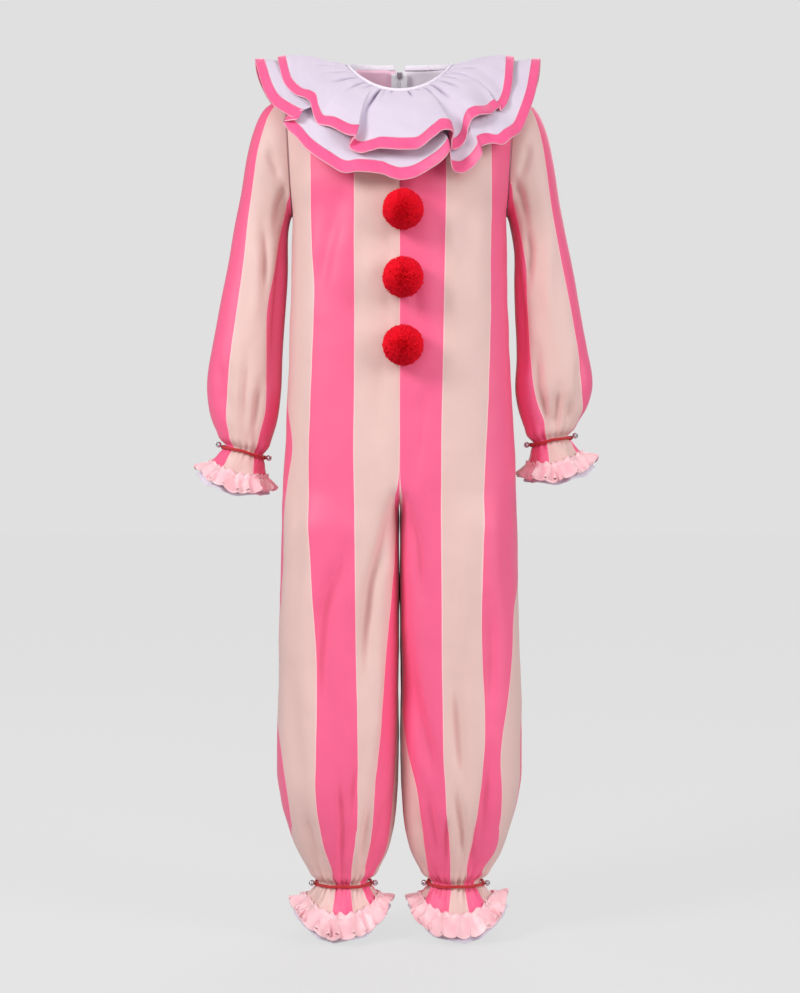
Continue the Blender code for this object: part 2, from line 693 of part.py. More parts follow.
def make_zip():
    rows = [row[:1] + row[1:2] for row in yoke_rows("back")]
    rows += [body_row(z, "back")[:2] for z in TRUNK_ROWS if z > ZIP_END_Z + 10]
    line = [row[0] for row in rows]
    line[0] = line[0] - Vector((0.0, 0.0, 5.0))
    tangents = [(line[min(i + 1, len(line) - 1)] - line[max(i - 1, 0)]).normalized()
                for i in range(len(line))]
    outs = [Vector((0.0, -t.z, t.y)).normalized() for t in tangents]
    for side, sign in (("left", 1.0), ("right", -1.0)):
        strip = []
        for point, out, row in zip(line, outs, rows):
            near = point - out * (CLOTH + 0.5) + Vector((sign * 2.6, 0.0, 0.0))
            far = point - out * (CLOTH + 0.9) + Vector((sign * ZIP_TAPE_EDGE, 0.0, 0.0))
            far.y -= 1.2
            strip.append([near, far] if sign > 0 else [far, near])
        points, faces = stitch(strip)
        normal = (points[faces[0][1]] - points[faces[0][0]]).cross(
            points[faces[0][2]] - points[faces[0][0]])
        if normal.y < 0:
            faces = [(a, c, b) for a, b, c in faces]
        surface = (points, faces)
        cloth("zip_tape_" + side, surface, shared_normals([surface]), 0.8)
    vertices, faces = [], []
    for point, out in zip(line, outs):
        for x, depth in ((-2.0, 0.2), (2.0, 0.2), (2.0, 2.6), (-2.0, 2.6)):
            vertices.append(point + Vector((x, 0.0, 0.0)) - out * depth)
    for i in range(len(line) - 1):
        for k in range(4):
            a, b = i * 4 + k, i * 4 + (k + 1) % 4
            faces.extend(((a, b, b + 4), (a, b + 4, a + 4)))
    last = (len(line) - 1) * 4
    faces.extend(((0, 1, 2), (0, 2, 3), (last, last + 1, last + 2), (last, last + 2, last + 3)))
    finish("zip_chain", vertices, faces)


def plate(name, outline, half_width, origin, out, along):
    """Solid of one outline of (out, along) points, from -half_width to half_width across."""
    place = [origin + out * o + along * a for o, a in outline]
    across = Vector((half_width, 0.0, 0.0))
    count = len(place)
    faces = [tuple(range(count)), tuple(range(2 * count - 1, count - 1, -1))]
    faces += [(i, (i + 1) % count, (i + 1) % count + count, i + count) for i in range(count)]
    finish(name, [p - across for p in place] + [p + across for p in place], faces)


def zip_top():
    """Top of the chain, the way out of the cloth there and the way up the zip."""
    rows = yoke_rows("back")
    start = rows[0][0] - Vector((0.0, 0.0, 5.0))
    up = (start - rows[1][0]).normalized()
    return start, Vector((0.0, up.z, -up.y)).normalized(), up


def make_slider_and_pull():
    """The slider straddles the chain's top; the pull hangs on a pin through its bridge."""
    start, out, up = zip_top()
    low, high, wall = -SLIDER_LENGTH + 2.6, 2.6, 0.6
    outline = ((0.6, low), (1.7, low), (1.7, high), (-4.4, high), (-4.4, low), (-3.2, low),
               (-3.2, wall), (0.6, wall))
    plate("zip_slider", outline, SLIDER_HALF_WIDTH, start, out, up)
    pivot = -1.0
    tab = [(PIVOT_OUT + EYE_RADIUS * math.cos(math.pi * i / 8),
            pivot + EYE_RADIUS * math.sin(math.pi * i / 8)) for i in range(9)]
    tab += [(PIVOT_OUT - 0.5, pivot - 3.0), (PIVOT_OUT - 0.5, pivot - PULL_LENGTH),
            (PIVOT_OUT + 0.7, pivot - PULL_LENGTH), (PIVOT_OUT + 0.7, pivot - 3.0)]
    plate("zip_pull", tab, PULL_HALF_WIDTH, start, out, up)


def main():
    for stray in list(bpy.data.objects):
        bpy.data.objects.remove(stray)
    make_body_and_sleeves()
    make_ruff()
    make_cuffs()
    make_pompoms()
    make_zip()
    make_slider_and_pull()


main()
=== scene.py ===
import math
import random
from bisect import bisect_left
from functools import lru_cache

import bmesh
import bpy
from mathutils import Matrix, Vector, noise


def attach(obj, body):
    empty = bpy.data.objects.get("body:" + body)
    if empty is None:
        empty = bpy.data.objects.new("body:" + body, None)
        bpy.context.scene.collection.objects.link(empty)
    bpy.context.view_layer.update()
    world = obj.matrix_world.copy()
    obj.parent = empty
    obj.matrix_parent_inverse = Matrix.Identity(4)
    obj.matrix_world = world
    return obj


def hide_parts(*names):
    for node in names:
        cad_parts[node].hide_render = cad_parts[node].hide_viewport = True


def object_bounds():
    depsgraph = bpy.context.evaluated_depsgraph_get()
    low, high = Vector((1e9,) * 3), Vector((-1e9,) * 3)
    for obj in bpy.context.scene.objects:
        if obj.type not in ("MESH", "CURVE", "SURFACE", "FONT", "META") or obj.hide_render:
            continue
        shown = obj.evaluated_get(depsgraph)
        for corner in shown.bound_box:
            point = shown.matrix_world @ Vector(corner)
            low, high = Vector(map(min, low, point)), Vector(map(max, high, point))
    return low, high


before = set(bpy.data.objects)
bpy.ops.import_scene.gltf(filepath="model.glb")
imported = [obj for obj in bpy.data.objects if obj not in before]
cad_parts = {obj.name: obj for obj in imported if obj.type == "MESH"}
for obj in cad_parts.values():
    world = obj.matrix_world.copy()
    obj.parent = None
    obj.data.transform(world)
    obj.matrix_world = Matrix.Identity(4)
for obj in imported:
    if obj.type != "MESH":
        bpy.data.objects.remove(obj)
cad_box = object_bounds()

# Studio. A plain pale floor under broad soft light, with the camera square to the front of
# the suit and level with its middle.


def shade(red, green, blue):
    """Linear colour from screen values of 0 to 255."""
    return tuple((v / 255 / 12.92) if v < 11 else ((v / 255 + 0.055) / 1.055) ** 2.4
                 for v in (red, green, blue)) + (1.0,)


def plug(made, socket, source):
    """Feed a node's input a plain value, a socket or another node's first output."""
    if isinstance(source, bpy.types.Node):
        source = source.outputs[0]
    if isinstance(source, bpy.types.NodeSocket):
        made.id_data.links.new(source, made.inputs[socket])
    else:
        made.inputs[socket].default_value = source


def node(tree, kind, feeds=None, **settings):
    """New node with its settings and what feeds each of its inputs."""
    made = tree.nodes.new(kind)
    for name, value in settings.items():
        setattr(made, name, value)
    for socket, source in (feeds or {}).items():
        plug(made, socket, source)
    return made


def material(name, roughness, sheen=0.0, **settings):
    """New material and its Principled shader."""
    made = bpy.data.materials.new(name)
    made.use_nodes = True
    shader = made.node_tree.nodes["Principled BSDF"]
    settings.update(Roughness=roughness, Sheen_Weight=sheen, Sheen_Roughness=0.45)
    for socket, value in settings.items():
        plug(shader, socket.replace("_", " "), value)
    return made, shader


def placed(name, data):
    """New object in the scene."""
    made = bpy.data.objects.new(name, data)
    scene.collection.objects.link(made)
    return made


scene = bpy.context.scene
scene.view_settings.view_transform = "Standard"

camera = placed("camera", bpy.data.cameras.new("camera"))
camera.data.lens = 67.7
camera.data.sensor_width = 36.0
camera.location = (0.0007, -2.8, -0.6443)
camera.rotation_euler = (math.radians(90.0), 0.0, 0.0)
scene.camera = camera

FLOOR_RADIUS = 30.0
floor_mesh = bpy.data.meshes.new("floor")
floor_mesh.from_pydata([
    (FLOOR_RADIUS * math.cos(math.tau * i / 64), FLOOR_RADIUS * math.sin(math.tau * i / 64),
     cad_box[0].z - 0.002) for i in range(64)], [], [tuple(range(64))])
floor = placed("floor", floor_mesh)
floor_paper, floor_shader = material("floor_paper", 0.95, Base_Color=shade(200, 200, 200),
                                     Specular_IOR_Level=0.0)
paper = floor_paper.node_tree
share = node(paper, "ShaderNodeMath", {
    0: node(paper, "ShaderNodeLightPath").outputs["Is Camera Ray"], 1: 0.78},
    operation="MULTIPLY")
glow = node(paper, "ShaderNodeEmission", {"Color": shade(237, 237, 237)})
lit = node(paper, "ShaderNodeMixShader", {0: share, 1: floor_shader, 2: glow})
plug(paper.nodes["Material Output"], "Surface", lit)
floor_mesh.materials.append(floor_paper)

# Broad lamps: the key is a large one near enough to fade a little towards the feet, the
# others stand a long way off. Their place, strength and size in metres or in degrees.
for lamp_name, kind, place, strength, size in (
        ("key", "AREA", (-2.6, -2.2, 1.3), 86.0, 1.3),
        ("fill", "SUN", (2.6, -1.8, 0.9), 1.45, 35.0),
        ("front", "SUN", (-0.2, -2.6, 1.2), 0.5, 40.0),
        ("back", "SUN", (0.6, 2.4, 1.6), 0.95, 50.0)):
    lamp = placed(lamp_name, bpy.data.lights.new(lamp_name, kind))
    lamp.data.energy = strength
    if kind == "SUN":
        lamp.data.angle = math.radians(size)
    else:
        lamp.data.size = size
    lamp.location = place
    aim = Vector(place) - (Vector((0.0, 0.0, -0.55)) if kind == "AREA" else Vector())
    lamp.rotation_euler = aim.to_track_quat("Z", "Y").to_euler()

world = bpy.data.worlds.new("studio")
world.use_nodes = True
scene.world = world
sky = world.node_tree
for stray in list(sky.nodes):
    sky.nodes.remove(stray)
seen = node(sky, "ShaderNodeBackground", {"Color": shade(224, 224, 224), "Strength": 1.0})
around = node(sky, "ShaderNodeBackground", {"Color": (1.0, 1.0, 1.0, 1.0), "Strength": 0.25})
mixed = node(sky, "ShaderNodeMixShader", {
    0: node(sky, "ShaderNodeLightPath").outputs["Is Camera Ray"], 1: around, 2: seen})
node(sky, "ShaderNodeOutputWorld", {"Surface": mixed})

# Fronts and backs. Four panels of printed polyester satin, cut on the straight grain and
# joined at the centre, the sides and the inseams. Each leg is gathered above its cord and
# opens into a frill below it.
MM = 0.001
STRIPE = 64.0
CLOTH = 1.5

#    z        side   inner  front  back   leg   square
BODY_LEVELS = (
    (-222, 160, 0, 117, 106, 0, 4.5),
    (-300, 161, 0, 120, 104, 0, 4.5),
    (-430, 165, 0, 118, 104, 0, 4.5),
    (-560, 171, 0, 118, 112, 0, 4.5),
    (-625, 174, 0, 117, 115, 0, 4.5),
    (-665, 175.5, 0.2, 115, 116, 0.5, 4.3),
    (-705, 177, 0.5, 113, 115, 1, 4.1),
    (-820, 178.5, 0.8, 108, 111, 1, 3.5),
    (-950, 181.5, 1.2, 101, 106, 1, 3),
    (-1050, 183, 2, 96, 100, 1, 2.6),
    (-1100, 177, 3.5, 90, 94, 1, 2.4),
    (-1145, 164, 9.5, 79, 82, 1, 2.2),
    (-1175, 153, 17, 67, 69, 1, 2.1),
    (-1196, 142.5, 26.5, 56, 57, 1, 2),
    (-1210, 134, 34.5, 48, 48, 1, 2),
)
# Where the stripes' edges run on the two halves, as distances from the middle plane seen
# square from the front: centre is the edge by the centre seam, then one after another.
#    z        centre  first  second  third
STRIPE_EDGES = {
    "right": (
        (-170, 0, 68, 134, 240), (-357, 0, 68, 129, 240), (-492, 0, 67.5, 133.5, 179),
        (-560, 0, 69, 136.5, 159), (-650, 2.2, 67.5, 138, 172), (-807, 13.5, 66, 130.5, 178),
        (-897, 22.5, 64.5, 126, 181), (-965, 28.5, 63, 124.5, 184), (-1032, 33, 61.5, 126, 177),
        (-1100, 39, 60, 126, 165), (-1167, 42, 66, 115.5, 159.5), (-1212, 50.5, 72, 100.5, 137),
    ),
    "left": (
        (-170, 0, 70.5, 138, 240), (-357, 0, 67.5, 136.5, 240), (-492, 0, 64.5, 133.5, 240),
        (-560, 0, 63, 129, 240), (-650, 0, 63, 126, 240), (-807, 0, 64.5, 123, 172.5),
        (-897, 0.5, 64.5, 124.5, 168), (-965, 3, 66, 129, 159), (-1032, 12, 66, 127.5, 150),
        (-1100, 28.5, 69, 120, 153), (-1167, 33, 75, 112.5, 148.5),
        (-1212, 40.5, 76.5, 103, 124.5),
    ),
}
# Soft troughs (depth below 0) and ridges pressed into the cloth by wear and hang: their
# path as (across, height) seen from the front or the back, half width and depth.
CREASES = {
    "front_right": (
        (((-92, -197), (-112, -285), (-125, -350)), 13, -4),
        (((-60, -230), (-66, -330), (-62, -420)), 16, -2), (((-20, -255), (-9, -292)), 6, -2),
        (((-22, -345), (-10, -388)), 6, -1.8), (((-24, -440), (-34, -520), (-30, -610)), 11, -2.2),
        (((-10, -640), (-18, -700), (-40, -775), (-49, -848), (-57, -935)), 10, -6),
        (((-75, -650), (-71, -760), (-72, -860)), 12, 3.5),
        (((-77, -727), (-100, -776), (-113, -828), (-119, -900), (-115, -990)), 14, -6.5),
        (((-30, -860), (-34, -960), (-40, -1050)), 8, 3),
        (((-150, -600), (-156, -720), (-160, -820)), 14, -3),
        (((-165, -900), (-160, -1000), (-146, -1100)), 12, -3),
        (((-62, -1030), (-72, -1110), (-79, -1212)), 8, -4.5),
        (((-90, -1060), (-86, -1140), (-89, -1216)), 7, -5.5),
        (((-12, -1090), (-32, -1160), (-49, -1216)), 8, -4.5),
        (((-146, -1110), (-130, -1172), (-112, -1216)), 8, -4.5),
        (((-42, -1100), (-50, -1160), (-58, -1216)), 6, -4),
    ),
    "front_left": (
        (((60, -220), (70, -330), (64, -430)), 15, -2),
        (((110, -190), (96, -300), (100, -400)), 14, -2.2), (((22, -300), (30, -420)), 9, -1.6),
        (((40, -470), (30, -560), (16, -640)), 10, -2.6),
        (((10, -655), (26, -720), (33, -800)), 9, -4),
        (((96, -700), (98, -800), (94, -900)), 12, 3),
        (((7, -860), (19, -950), (46, -1040), (55, -1100)), 12, -5.5),
        (((80, -915), (87, -1010), (94, -1085)), 9, -4.5),
        (((137, -800), (138, -900), (134, -985)), 12, -4.5),
        (((160, -640), (166, -740), (168, -840)), 12, -2.5),
        (((80, -1070), (94, -1150), (97, -1214)), 8, -5.5),
        (((72, -1110), (69, -1160), (70, -1216)), 6, -4.5),
        (((136, -1030), (130, -1130), (113, -1214)), 11, -6),
        (((34, -1070), (50, -1150), (60, -1216)), 8, -4.5),
        (((116, -1120), (108, -1216)), 6, -4.5), (((18, -1100), (32, -1170), (46, -1216)), 8, -4),
    ),
    "back_right": (
        (((-40, -180), (-60, -300), (-52, -400)), 13, -3.5),
        (((-110, -230), (-96, -360), (-104, -470)), 15, -3),
        (((-20, -560), (-52, -620), (-92, -650)), 10, -4),
        (((-14, -660), (-40, -760), (-56, -880)), 11, -5.5),
        (((-120, -640), (-112, -800), (-122, -930)), 14, -4.5),
        (((-80, -900), (-88, -1020), (-84, -1120)), 12, -4.5),
        (((-60, -1110), (-68, -1200)), 7, -6), (((-112, -1100), (-104, -1205)), 8, -6),
        (((-30, -1120), (-48, -1205)), 7, -5), (((-146, -1090), (-124, -1200)), 9, -4.5),
    ),
    "back_left": (
        (((46, -190), (56, -290), (44, -410)), 12, -3.2),
        (((118, -240), (104, -340), (112, -480)), 15, -3),
        (((18, -575), (60, -630), (100, -645)), 10, -4),
        (((16, -670), (36, -780), (48, -900)), 11, -5),
        (((126, -650), (118, -780), (126, -960)), 13, -4.5),
        (((84, -880), (78, -1010), (88, -1110)), 12, -4.8), (((62, -1120), (70, -1205)), 7, -6),
        (((108, -1090), (100, -1205)), 8, -6), (((34, -1110), (50, -1205)), 7, -5),
        (((140, -1100), (122, -1200)), 9, -4.5),
    ),
}
UNDERARM_Z = -222.0
SIDE_Y = 4.0
TRUNK_SQUARE = 2.8
CREASE_X = 16.0
WALL_TURN = 50.0
WALL_STEPS = 19
ACROSS_STEPS = 57
TRUNK_STEP = 9.0
THROAT_STEP = 3.2
FRILL_STEP = 2.6
EASING_PASSES = 10
# The yoke's top edge in parts: all of it, those by the neck and those by the inner wall.
YOKE_PARTS, YOKE_NECK_PARTS, YOKE_WALL_PARTS = 11, 6, 4
YOKE_ROWS = 36
STEPS = WALL_STEPS + ACROSS_STEPS
NECK_HALF_WIDTH = 79.0
NECK_Y = 8.0
NECK_FRONT = (83.0, -57.0)
NECK_BACK = (54.0, 9.0)
SHOULDER_TIP = (168.0, SIDE_Y, -46.0)
ZIP_END_Z = -560.0
ZIP_HALF_GAP = 5.6
SLEEVE_SQUARE = 2.3
#   inner x  inner z  outer x  outer z  front back   y
SLEEVE_TOP = (
    (160, -222, 168, -46, 60, 66, 4),
    (161.5, -225, 200, -62, 62, 66, 4.5),
    (162.6, -229, 217, -92, 60, 63, 5),
    (163.6, -235, 230, -142, 57, 60, 6),
    (165, -250, 242, -212, 53, 56, 8),
    (167, -304, 256, -284, 52, 54, 9),
    (171, -368, 268, -350, 52, 54, 10),
    (175.5, -436, 281.5, -420, 53, 54, 10),
)
# Where the cords tie, and how far each frill's edge stands out and drops below its cord.
CUFFS = {
    "wrist_right": {"centre": (-234, 10, -577.5), "out": (-0.967, 0, 0.256),
                    "half": 28.5, "depth": 28.5, "flutes": 6, "gathers": 20},
    "wrist_left": {"centre": (227.5, 10, -561), "out": (0.982, 0, 0.187),
                   "half": 26.5, "depth": 26.5, "flutes": 6, "gathers": 20},
    "ankle_right": {"centre": (-84, 0, -1222), "out": (-1, 0, 0),
                    "half": 37, "depth": 36.5, "flutes": 8, "gathers": 29},
    "ankle_left": {"centre": (84, 0, -1222), "out": (1, 0, 0),
                   "half": 37, "depth": 36.5, "flutes": 8, "gathers": 29},
}
FRILL_EDGE = {
    "wrist": {"outer": (28, 46), "inner": (24, 46), "front": (28, 60),
              "back": (24, 50)},
    "ankle": {"outer": (37, 32), "inner": (31, 32), "front": (42, 68),
              "back": (36, 46)},
}
NECK_OF_CUFF = 3.6
# Heights where a leg's rows start to even out, stop being plain and follow its gathers.
EVEN_FROM_Z = -1050.0
PLAIN_END_Z = -1140.0
GATHERED_ROWS = (-1145.0, -1160.0, -1175.0, -1187.0, -1198.0, -1207.0)
# The view that the tables' places across and up are given in.
VIEW_DISTANCE = 2800.0
VIEW_HEIGHT = -645.0
FLUTE_HEIGHT = 5.0
FRILL_SHARES = (0.04, 0.12, 0.22, 0.32, 0.43, 0.54, 0.62)


def clamp(value, low=0.0, high=1.0):
    return min(high, max(low, value))


def smooth(t):
    """Ease from 0 to 1, flat at both ends."""
    t = clamp(t)
    return t * t * (3 - 2 * t)


def cos_sin(bearing):
    return math.cos(math.radians(bearing)), math.sin(math.radians(bearing))


def signed_power(value, power):
    """A power that keeps the sign, to round or square a circle off."""
    return math.copysign(abs(value) ** power, value)


def at_level(levels, at):
    """Row of a table at a height, eased so that it has no corners or overshoot."""
    rows = sorted(levels, key=lambda row: row[0])
    if at <= rows[0][0]:
        return rows[0][1:]
    if at >= rows[-1][0]:
        return rows[-1][1:]
    index = next(i for i in range(1, len(rows)) if rows[i][0] >= at)

    def slope(i, column):
        if i == 0 or i == len(rows) - 1:
            return 0.0
        before = (rows[i][column] - rows[i - 1][column]) / (rows[i][0] - rows[i - 1][0])
        after = (rows[i + 1][column] - rows[i][column]) / (rows[i + 1][0] - rows[i][0])
        return 2 * before * after / (before + after) if before * after > 0 else 0.0

    low, high = rows[index - 1], rows[index]
    span = high[0] - low[0]
    t = (at - low[0]) / span
    values = []
    for column in range(1, len(low)):
        rise = 3 * t * t - 2 * t ** 3
        values.append(low[column] * (1 - rise) + high[column] * rise
                      + slope(index - 1, column) * span * (t - 2 * t * t + t ** 3)
                      + slope(index, column) * span * (t ** 3 - t * t))
    return values


def lengths(points):
    """Distance along a line to each of its points."""
    result = [0.0]
    for before, after in zip(points, points[1:]):
        result.append(result[-1] + (after - before).length)
    return result


def walk(points, shares):
    """Points of a line at shares of its length."""
    marks = lengths(points)
    result = []
    for share in shares:
        target = marks[-1] * share
        i = min(max(1, bisect_left(marks, target)), len(points) - 1)
        span = marks[i] - marks[i - 1]
        part = clamp((target - marks[i - 1]) / span) if span else 0.0
        result.append(points[i - 1].lerp(points[i], part))
    return result


def evenly(steps):
    """Shares from 0 to 1, both ends included."""
    return [i / steps for i in range(steps + 1)]


def corner(start, end, centre, square, first=0.0, last=90.0, count=40):
    """Quarter of a rounded rectangle from start to end about a centre."""
    points = []
    for step in range(count + 1):
        angle = math.radians(first + (last - first) * step / count)
        toward_start = max(0.0, math.cos(angle)) ** (2 / square)
        toward_end = max(0.0, math.sin(angle)) ** (2 / square)
        points.append(centre + (start - centre) * toward_start + (end - centre) * toward_end)
    return points


def body_row(z, half, even=0.0):
    """Left panel's points at a height, from its centre or inseam edge to its side seam."""
    side, inner, front, back, leg, square = at_level(BODY_LEVELS, z)
    depth = -front if half == "front" else back
    side_point = Vector((side, SIDE_Y, z))
    middle = (side + inner) / 2
    centre = Vector((middle, SIDE_Y * 0.5, z))
    apex = Vector((middle, depth, z))
    inseam = Vector((inner, SIDE_Y * 0.5, z))
    wall = corner(inseam, apex, centre, square, 0.0, WALL_TURN)
    across = corner(inseam, apex, centre, square, WALL_TURN, 90.0) + corner(
        apex, side_point, Vector((middle, SIDE_Y, z)), min(square, TRUNK_SQUARE))[1:]
    line = wall + across[1:]
    part = lengths(wall)[-1] / lengths(line)[-1]
    split = [part * i / WALL_STEPS for i in range(WALL_STEPS)]
    split += [part + (1 - part) * share for share in evenly(ACROSS_STEPS)]
    leg_row = walk(line, [a + (b - a) * even for a, b in zip(split, evenly(STEPS))])
    if leg >= 1.0:
        return leg_row
    trunk = walk(corner(Vector((0.0, depth, z)), side_point, Vector((0.0, SIDE_Y, z)),
                        TRUNK_SQUARE), evenly(60))
    cut = next(i for i, point in enumerate(trunk) if point.x >= CREASE_X)
    before, after = trunk[cut - 1], trunk[cut]
    turn = before.lerp(after, (CREASE_X - before.x) / (after.x - before.x))
    trunk_row = walk(trunk[:cut] + [turn], evenly(WALL_STEPS)) + walk(
        [turn] + trunk[cut:], evenly(ACROSS_STEPS))[1:]
    share = smooth(leg)
    return [a.lerp(b, share) for a, b in zip(trunk_row, leg_row)]


def neck_point(bearing):
    """Neck seam at a bearing, 0 over the left shoulder and 90 in front."""
    c, s = cos_sin(bearing)
    depth, height = NECK_FRONT if s > 0 else NECK_BACK
    return Vector((NECK_HALF_WIDTH * c, NECK_Y - depth * s,
                   height * abs(s) ** (1.5 if s > 0 else 1.0)))


def sleeve_ring(ring, bearing):
    """Point of a sleeve ring, 0 at its outer end and 90 in front."""
    inner_x, inner_z, outer_x, outer_z, front, back, y = ring
    c, s = cos_sin(bearing)
    outer, inner = Vector((outer_x, y, outer_z)), Vector((inner_x, y, inner_z))
    return ((outer + inner) / 2 + (outer - inner) / 2 * signed_power(c, 2 / SLEEVE_SQUARE)
            - Vector((0.0, front if s > 0 else back, 0.0)) * signed_power(s, 2 / SLEEVE_SQUARE))


def half_ring(ring, toward, shares):
    """Half of a sleeve ring, from its outer end to its inner one."""
    return walk([sleeve_ring(ring, toward * 180 * i / 60) for i in range(61)], shares)


def yoke_rows(half):
    """Rows from the neck and shoulder down to the underarm, filled in from their edges."""
    toward = 1.0 if half == "front" else -1.0
    wall_part = YOKE_WALL_PARTS / YOKE_PARTS
    marks = [wall_part * i / WALL_STEPS for i in range(WALL_STEPS)]
    marks += [(YOKE_WALL_PARTS + (YOKE_PARTS - YOKE_WALL_PARTS) * share) / YOKE_PARTS
              for share in evenly(ACROSS_STEPS)]
    shoulder, neck_end = Vector(SHOULDER_TIP), neck_point(0.0)
    top = []
    for u in marks:
        column = u * YOKE_PARTS
        top.append(neck_point(toward * 90 * (1 - column / YOKE_NECK_PARTS))
                   if column < YOKE_NECK_PARTS else neck_end.lerp(
                       shoulder, (column - YOKE_NECK_PARTS) / (YOKE_PARTS - YOKE_NECK_PARTS)))
    top[0].x = 0.0
    bottom = body_row(UNDERARM_Z, half)
    edge = half_ring(SLEEVE_TOP[0], toward, evenly(YOKE_ROWS))
    low = bottom[0]
    middle = walk([Vector((0.0, top[0].y + (low.y - top[0].y) * math.sin(math.pi / 2 * t) ** 0.85,
                           top[0].z + (low.z - top[0].z) * t)) for t in evenly(30)],
                  evenly(YOKE_ROWS))
    rows = []
    for r, v in enumerate(evenly(YOKE_ROWS)):
        row = []
        for c, u in enumerate(marks):
            ruled = top[c] * (1 - v) + bottom[c] * v + middle[r] * (1 - u) + edge[r] * u
            corners = ((top[0] * (1 - u) + top[-1] * u) * (1 - v)
                       + (bottom[0] * (1 - u) + bottom[-1] * u) * v)
            row.append(ruled - corners)
        rows.append(row)
    return rows


def cuff_axes(cuff):
    """Centre, outward and forward directions and the way down the limb."""
    out = Vector(cuff["out"]).normalized()
    down = Vector((-abs(out.z) if out.x < 0 else abs(out.z), 0.0, -abs(out.x)))
    return Vector(cuff["centre"]), out, Vector((0.0, -1.0, 0.0)), down.normalized()


def frill_point(name, bearing, share, offset=0.0):
    """Point of a frill, share 0 at the cord and 1 at the edge, moved out by an offset."""
    cuff = CUFFS[name]
    centre, out, forward, down = cuff_axes(cuff)
    c, s = cos_sin(bearing)
    edge = FRILL_EDGE[name.split("_")[0]]
    end = edge["front"] if s > 0 else edge["back"]
    side = edge["outer"] if c > 0 else edge["inner"]
    reach = side[0] * c * c + end[0] * s * s
    drop = side[1] * c * c + end[1] * s * s
    flute = FLUTE_HEIGHT * share * math.sin(math.radians(cuff["flutes"] * bearing + 40.0))
    away = out * c * cuff["half"] + forward * s * cuff["depth"]
    level = away.normalized()
    slope = (level * drop - down * reach).normalized()
    lean = level.lerp(slope, min(1.0, share * 1.4)).normalized()
    if share <= 0.0:
        return centre + away + level * offset - down * NECK_OF_CUFF
    return (centre + away + level * reach * share ** 1.35 + down * drop * share
            + lean * (flute + offset))


def glide(rows, step):
    """Rows in between, on smooth curves through the given ones, about a step apart."""
    result = []
    for i in range(len(rows) - 1):
        before, start = rows[max(0, i - 1)], rows[i]
        end, after = rows[i + 1], rows[min(len(rows) - 1, i + 2)]
        far = sum((b - a).length for a, b in zip(start, end)) / len(start)
        count = max(1, round(far / step))
        for k in range(count):
            t = k / count
            row = []
            for a, b, c, d in zip(before, start, end, after):
                span = max(1e-6, (c - b).length)
                lead = (b - a).length or span
                rest = (d - c).length or span
                slope_in = (c - a) * (span / (span + lead))
                slope_out = (d - b) * (span / (span + rest))
                row.append(b * (2 * t ** 3 - 3 * t * t + 1) + slope_in * (t ** 3 - 2 * t * t + t)
                           + c * (3 * t * t - 2 * t ** 3) + slope_out * (t ** 3 - t * t))
            result.append(row)
    return result + [rows[-1]]


def seen_from(point, viewer=-1.0):
    """Where a point shows in a view square from the front (or the back, viewer 1)."""
    nearer = VIEW_DISTANCE / (VIEW_DISTANCE - viewer * point.y)
    return point.x * nearer, VIEW_HEIGHT + (point.z - VIEW_HEIGHT) * nearer


@lru_cache(maxsize=None)
def edges_at(edges, level):
    return at_level(edges, float(level))


def stripe_marks(row, edges, viewer=-1.0, width=STRIPE, corner_at=None):
    """Stripe count at each point of a row, a whole number on every stripe's edge. On a
    panel, corner_at is the column where a leg's inner wall turns to the front."""
    marks = lengths(row)
    found = []
    places = [seen_from(point, viewer) for point in row]
    values = [edges_at(edges, round(z)) for _, z in places]
    for line in range(len(edges[0]) - 1):
        gaps = [abs(x) - value[line] for (x, _), value in zip(places, values)]
        at = None
        for i in range(len(row) - 1, 0, -1):
            if gaps[i] >= 0 > gaps[i - 1]:
                part = gaps[i - 1] / (gaps[i - 1] - gaps[i])
                at = marks[i - 1] + (marks[i] - marks[i - 1]) * part
                break
        found.append(at)
    if found[0] is None and corner_at is not None:
        found[0] = marks[corner_at] * smooth((-640.0 - row[0].z) / 60.0)
    if found[-1] is None and corner_at is not None:
        found[-1] = marks[-1]
    known = [(at, float(i)) for i, at in enumerate(found) if at is not None]
    result = []
    for mark in marks:
        if mark <= known[0][0]:
            result.append(known[0][1] - (known[0][0] - mark) / width)
        elif mark >= known[-1][0]:
            result.append(known[-1][1] + (mark - known[-1][0]) / width)
        else:
            i = next(k for k in range(1, len(known)) if known[k][0] >= mark)
            (a, low), (b, high) = known[i - 1], known[i]
            result.append(low + (high - low) * (mark - a) / (b - a))
    return result


def rows_down(rows):
    """Distance down the cloth to each row."""
    down = [0.0]
    for before, after in zip(rows, rows[1:]):
        down.append(down[-1] + sum((b - a).length for a, b in zip(before, after)) / len(before))
    return down


def mirrored(rows, sign):
    """Rows of points as they are, or on the other side of the centre when sign is -1."""
    return [[Vector((p.x * sign, p.y, p.z)) for p in row] for row in rows]


def laid_flat(counts, down):
    """Each point's place on the flat cloth, with the stripes eased along their length."""
    for _ in range(3):
        eased = [[sum(values) / 5 for values in zip(*counts[r - 2:r + 3])]
                 for r in range(2, len(counts) - 2)]
        counts = counts[:2] + eased + counts[-2:]
    return [[(mark * STRIPE * MM, far * MM) for mark in row] for row, far in zip(counts, down)]


